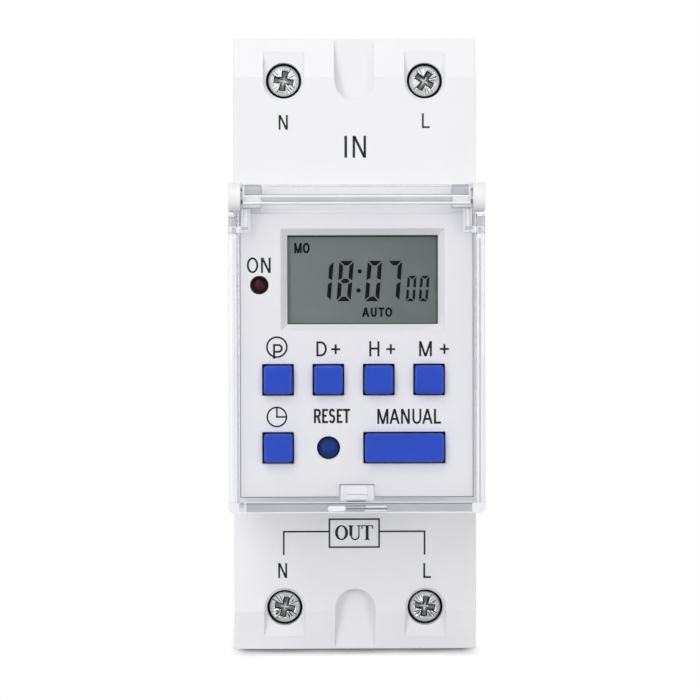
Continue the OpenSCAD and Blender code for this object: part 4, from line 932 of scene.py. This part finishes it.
def studio_floor():
    """White paper sweep: shows the contact shadow near the timer and is plain white further out."""
    material, tree, place = blank("white_paper_sweep")
    mesh = bpy.data.meshes.new("floor")
    far, ahead, level = 0.6, -0.3, CAD_BOX[0].z
    mesh.from_pydata([(x, y, level) for x, y in ((-far, ahead), (far, ahead), (far, far), (-far, far))],
                     [], [(0, 1, 2, 3)])
    floor = bpy.data.objects.new("floor", mesh)
    bpy.context.collection.objects.link(floor)
    mesh.materials.append(material)
    paper = node(tree, "BsdfDiffuse", {"Color": linear("#E8E8E8")}).outputs["BSDF"]
    white = node(tree, "Emission", {"Color": linear("#FFFFFF"), "Strength": 1.0}).outputs["Emission"]
    # How far a spot lies outside the timer's foot, which reaches forward to its lower shoulder
    foot_low, foot_high = (corner.copy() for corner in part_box("rear_housing"))
    foot_low.y = -0.0424
    offset = node(tree, "VectorMath", {0: place, 1: (foot_low + foot_high) / 2}, operation="SUBTRACT")
    offset = node(tree, "VectorMath", {0: offset.outputs["Vector"]}, operation="ABSOLUTE")
    beyond = node(tree, "VectorMath", {0: offset.outputs["Vector"], 1: (foot_high - foot_low) / 2},
                  operation="SUBTRACT")
    axes = node(tree, "SeparateXYZ", {"Vector": beyond.outputs["Vector"]}).outputs
    ahead_fade, side_fade = (
        node(tree, "MapRange", {"Value": axes[axis], "From Min": start, "From Max": end},
             interpolation_type="SMOOTHSTEP").outputs["Result"]
        for axis, start, end in (("Y", 0.009, 0.012), ("X", -0.002, 0.001)))
    fade = node(tree, "Math", {0: ahead_fade, 1: side_fade}, operation="MAXIMUM").outputs["Value"]
    # Soft contact shadow within 9.5 mm of the timer
    near = node(tree, "AmbientOcclusion", {"Distance": 0.0095}, samples=16).outputs["AO"]
    near = node(tree, "Math", {0: near, 1: 2.2}, operation="POWER").outputs["Value"]
    shade = node(tree, "Emission", {"Color": linear("#FFFFFF"), "Strength": near}).outputs["Emission"]
    seen = node(tree, "MixShader", {0: fade, 1: shade, 2: white}).outputs["Shader"]
    path = node(tree, "LightPath").outputs
    eye = node(tree, "Math", {0: path["Is Camera Ray"], 1: path["Is Transmission Ray"]},
               operation="MAXIMUM")
    both = node(tree, "MixShader", {0: eye.outputs["Value"], 1: paper, 2: seen})
    node(tree, "OutputMaterial", {"Surface": both.outputs["Shader"]})


def studio_air():
    """White surround for the camera; as light it is soft, and dark only in front, at the camera's place."""
    world = bpy.data.worlds.new("studio")
    bpy.context.scene.world = world
    world.use_nodes = True
    tree = world.node_tree
    tree.nodes.clear()
    heading = node(tree, "TexCoord").outputs["Generated"]
    ahead = node(tree, "SeparateXYZ", {"Vector": heading}).outputs["Y"]
    aside = node(tree, "Math", {0: ahead}, operation="ABSOLUTE").outputs["Value"]
    # Strengths by heading: soft light, more of it from behind the timer, and what polished parts show
    # of the dark place in front and of the dim sides
    front, rear, dark_card, flank = (
        node(tree, "MapRange", dict(enumerate(row))).outputs["Result"] for row in (
            (ahead, -0.985, -0.96, 0.04, 0.5), (ahead, 0.0, 0.4, 0.0, 0.3),
            (ahead, -0.985, -0.965, 0.03, 1.0), (aside, 0.2, 0.45, 0.2, 1.0)))
    level = node(tree, "Math", {0: front, 1: rear}, operation="ADD").outputs["Value"]
    mirrored = node(tree, "Math", {0: dark_card, 1: flank}, operation="MULTIPLY").outputs["Value"]
    path = node(tree, "LightPath").outputs
    shiny = node(tree, "Math", {0: path["Is Glossy Ray"], 1: path["Is Transmission Ray"]},
                 operation="MAXIMUM")
    level = node(tree, "Mix", {0: shiny.outputs["Value"], 2: level, 3: mirrored}).outputs[0]
    light = node(tree, "Background", {"Color": linear("#FEFEFF"), "Strength": level}).outputs["Background"]
    white = node(tree, "Background", {"Color": linear("#FFFFFF"), "Strength": 1.0}).outputs["Background"]
    both = node(tree, "MixShader", {0: path["Is Camera Ray"], 1: light, 2: white})
    node(tree, "OutputWorld", {"Surface": both.outputs["Shader"]})


def softbox(name, place, size, watts):
    """A square soft light that faces the middle of the frame."""
    light = bpy.data.lights.new(name, "AREA")
    light.size = size
    light.energy = watts
    lamp = bpy.data.objects.new(name, light)
    bpy.context.collection.objects.link(lamp)
    lamp.location = place
    lamp.rotation_euler = (-Vector(place)).to_track_quat("-Z", "Y").to_euler()


def camera():
    """Long lens a little left of and above the middle, turned slightly right and down."""
    pan, tilt, roll = math.radians(1.077), math.radians(1.770), math.radians(0.110)
    ahead = Vector((math.sin(pan) * math.cos(tilt), math.cos(pan) * math.cos(tilt), -math.sin(tilt)))
    right = Vector((math.cos(pan), -math.sin(pan), 0.0))
    up = right.cross(ahead)
    side = right * math.cos(roll) - up * math.sin(roll)
    top = right * math.sin(roll) + up * math.cos(roll)
    data = bpy.data.cameras.new("camera")
    data.sensor_width, data.lens = 36.0, 186.21257
    data.clip_start, data.clip_end = 0.05, 100.0
    eye = bpy.data.objects.new("camera", data)
    bpy.context.collection.objects.link(eye)
    eye.matrix_world = Matrix.Translation((-0.010534, -0.56754, 0.015442)) @ Matrix(
        (side, top, -ahead)).transposed().to_4x4()
    bpy.context.scene.camera = eye


camera()
studio_floor()
studio_air()
softbox("key_light", (-0.36, -0.72, 0.84), 0.7, 4.5)
softbox("left_light", (-0.58, -0.80, 0.14), 0.35, 1.7)
softbox("right_light", (0.58, -0.80, 0.14), 0.35, 1.5)
bpy.context.scene.view_settings.view_transform = "Standard"
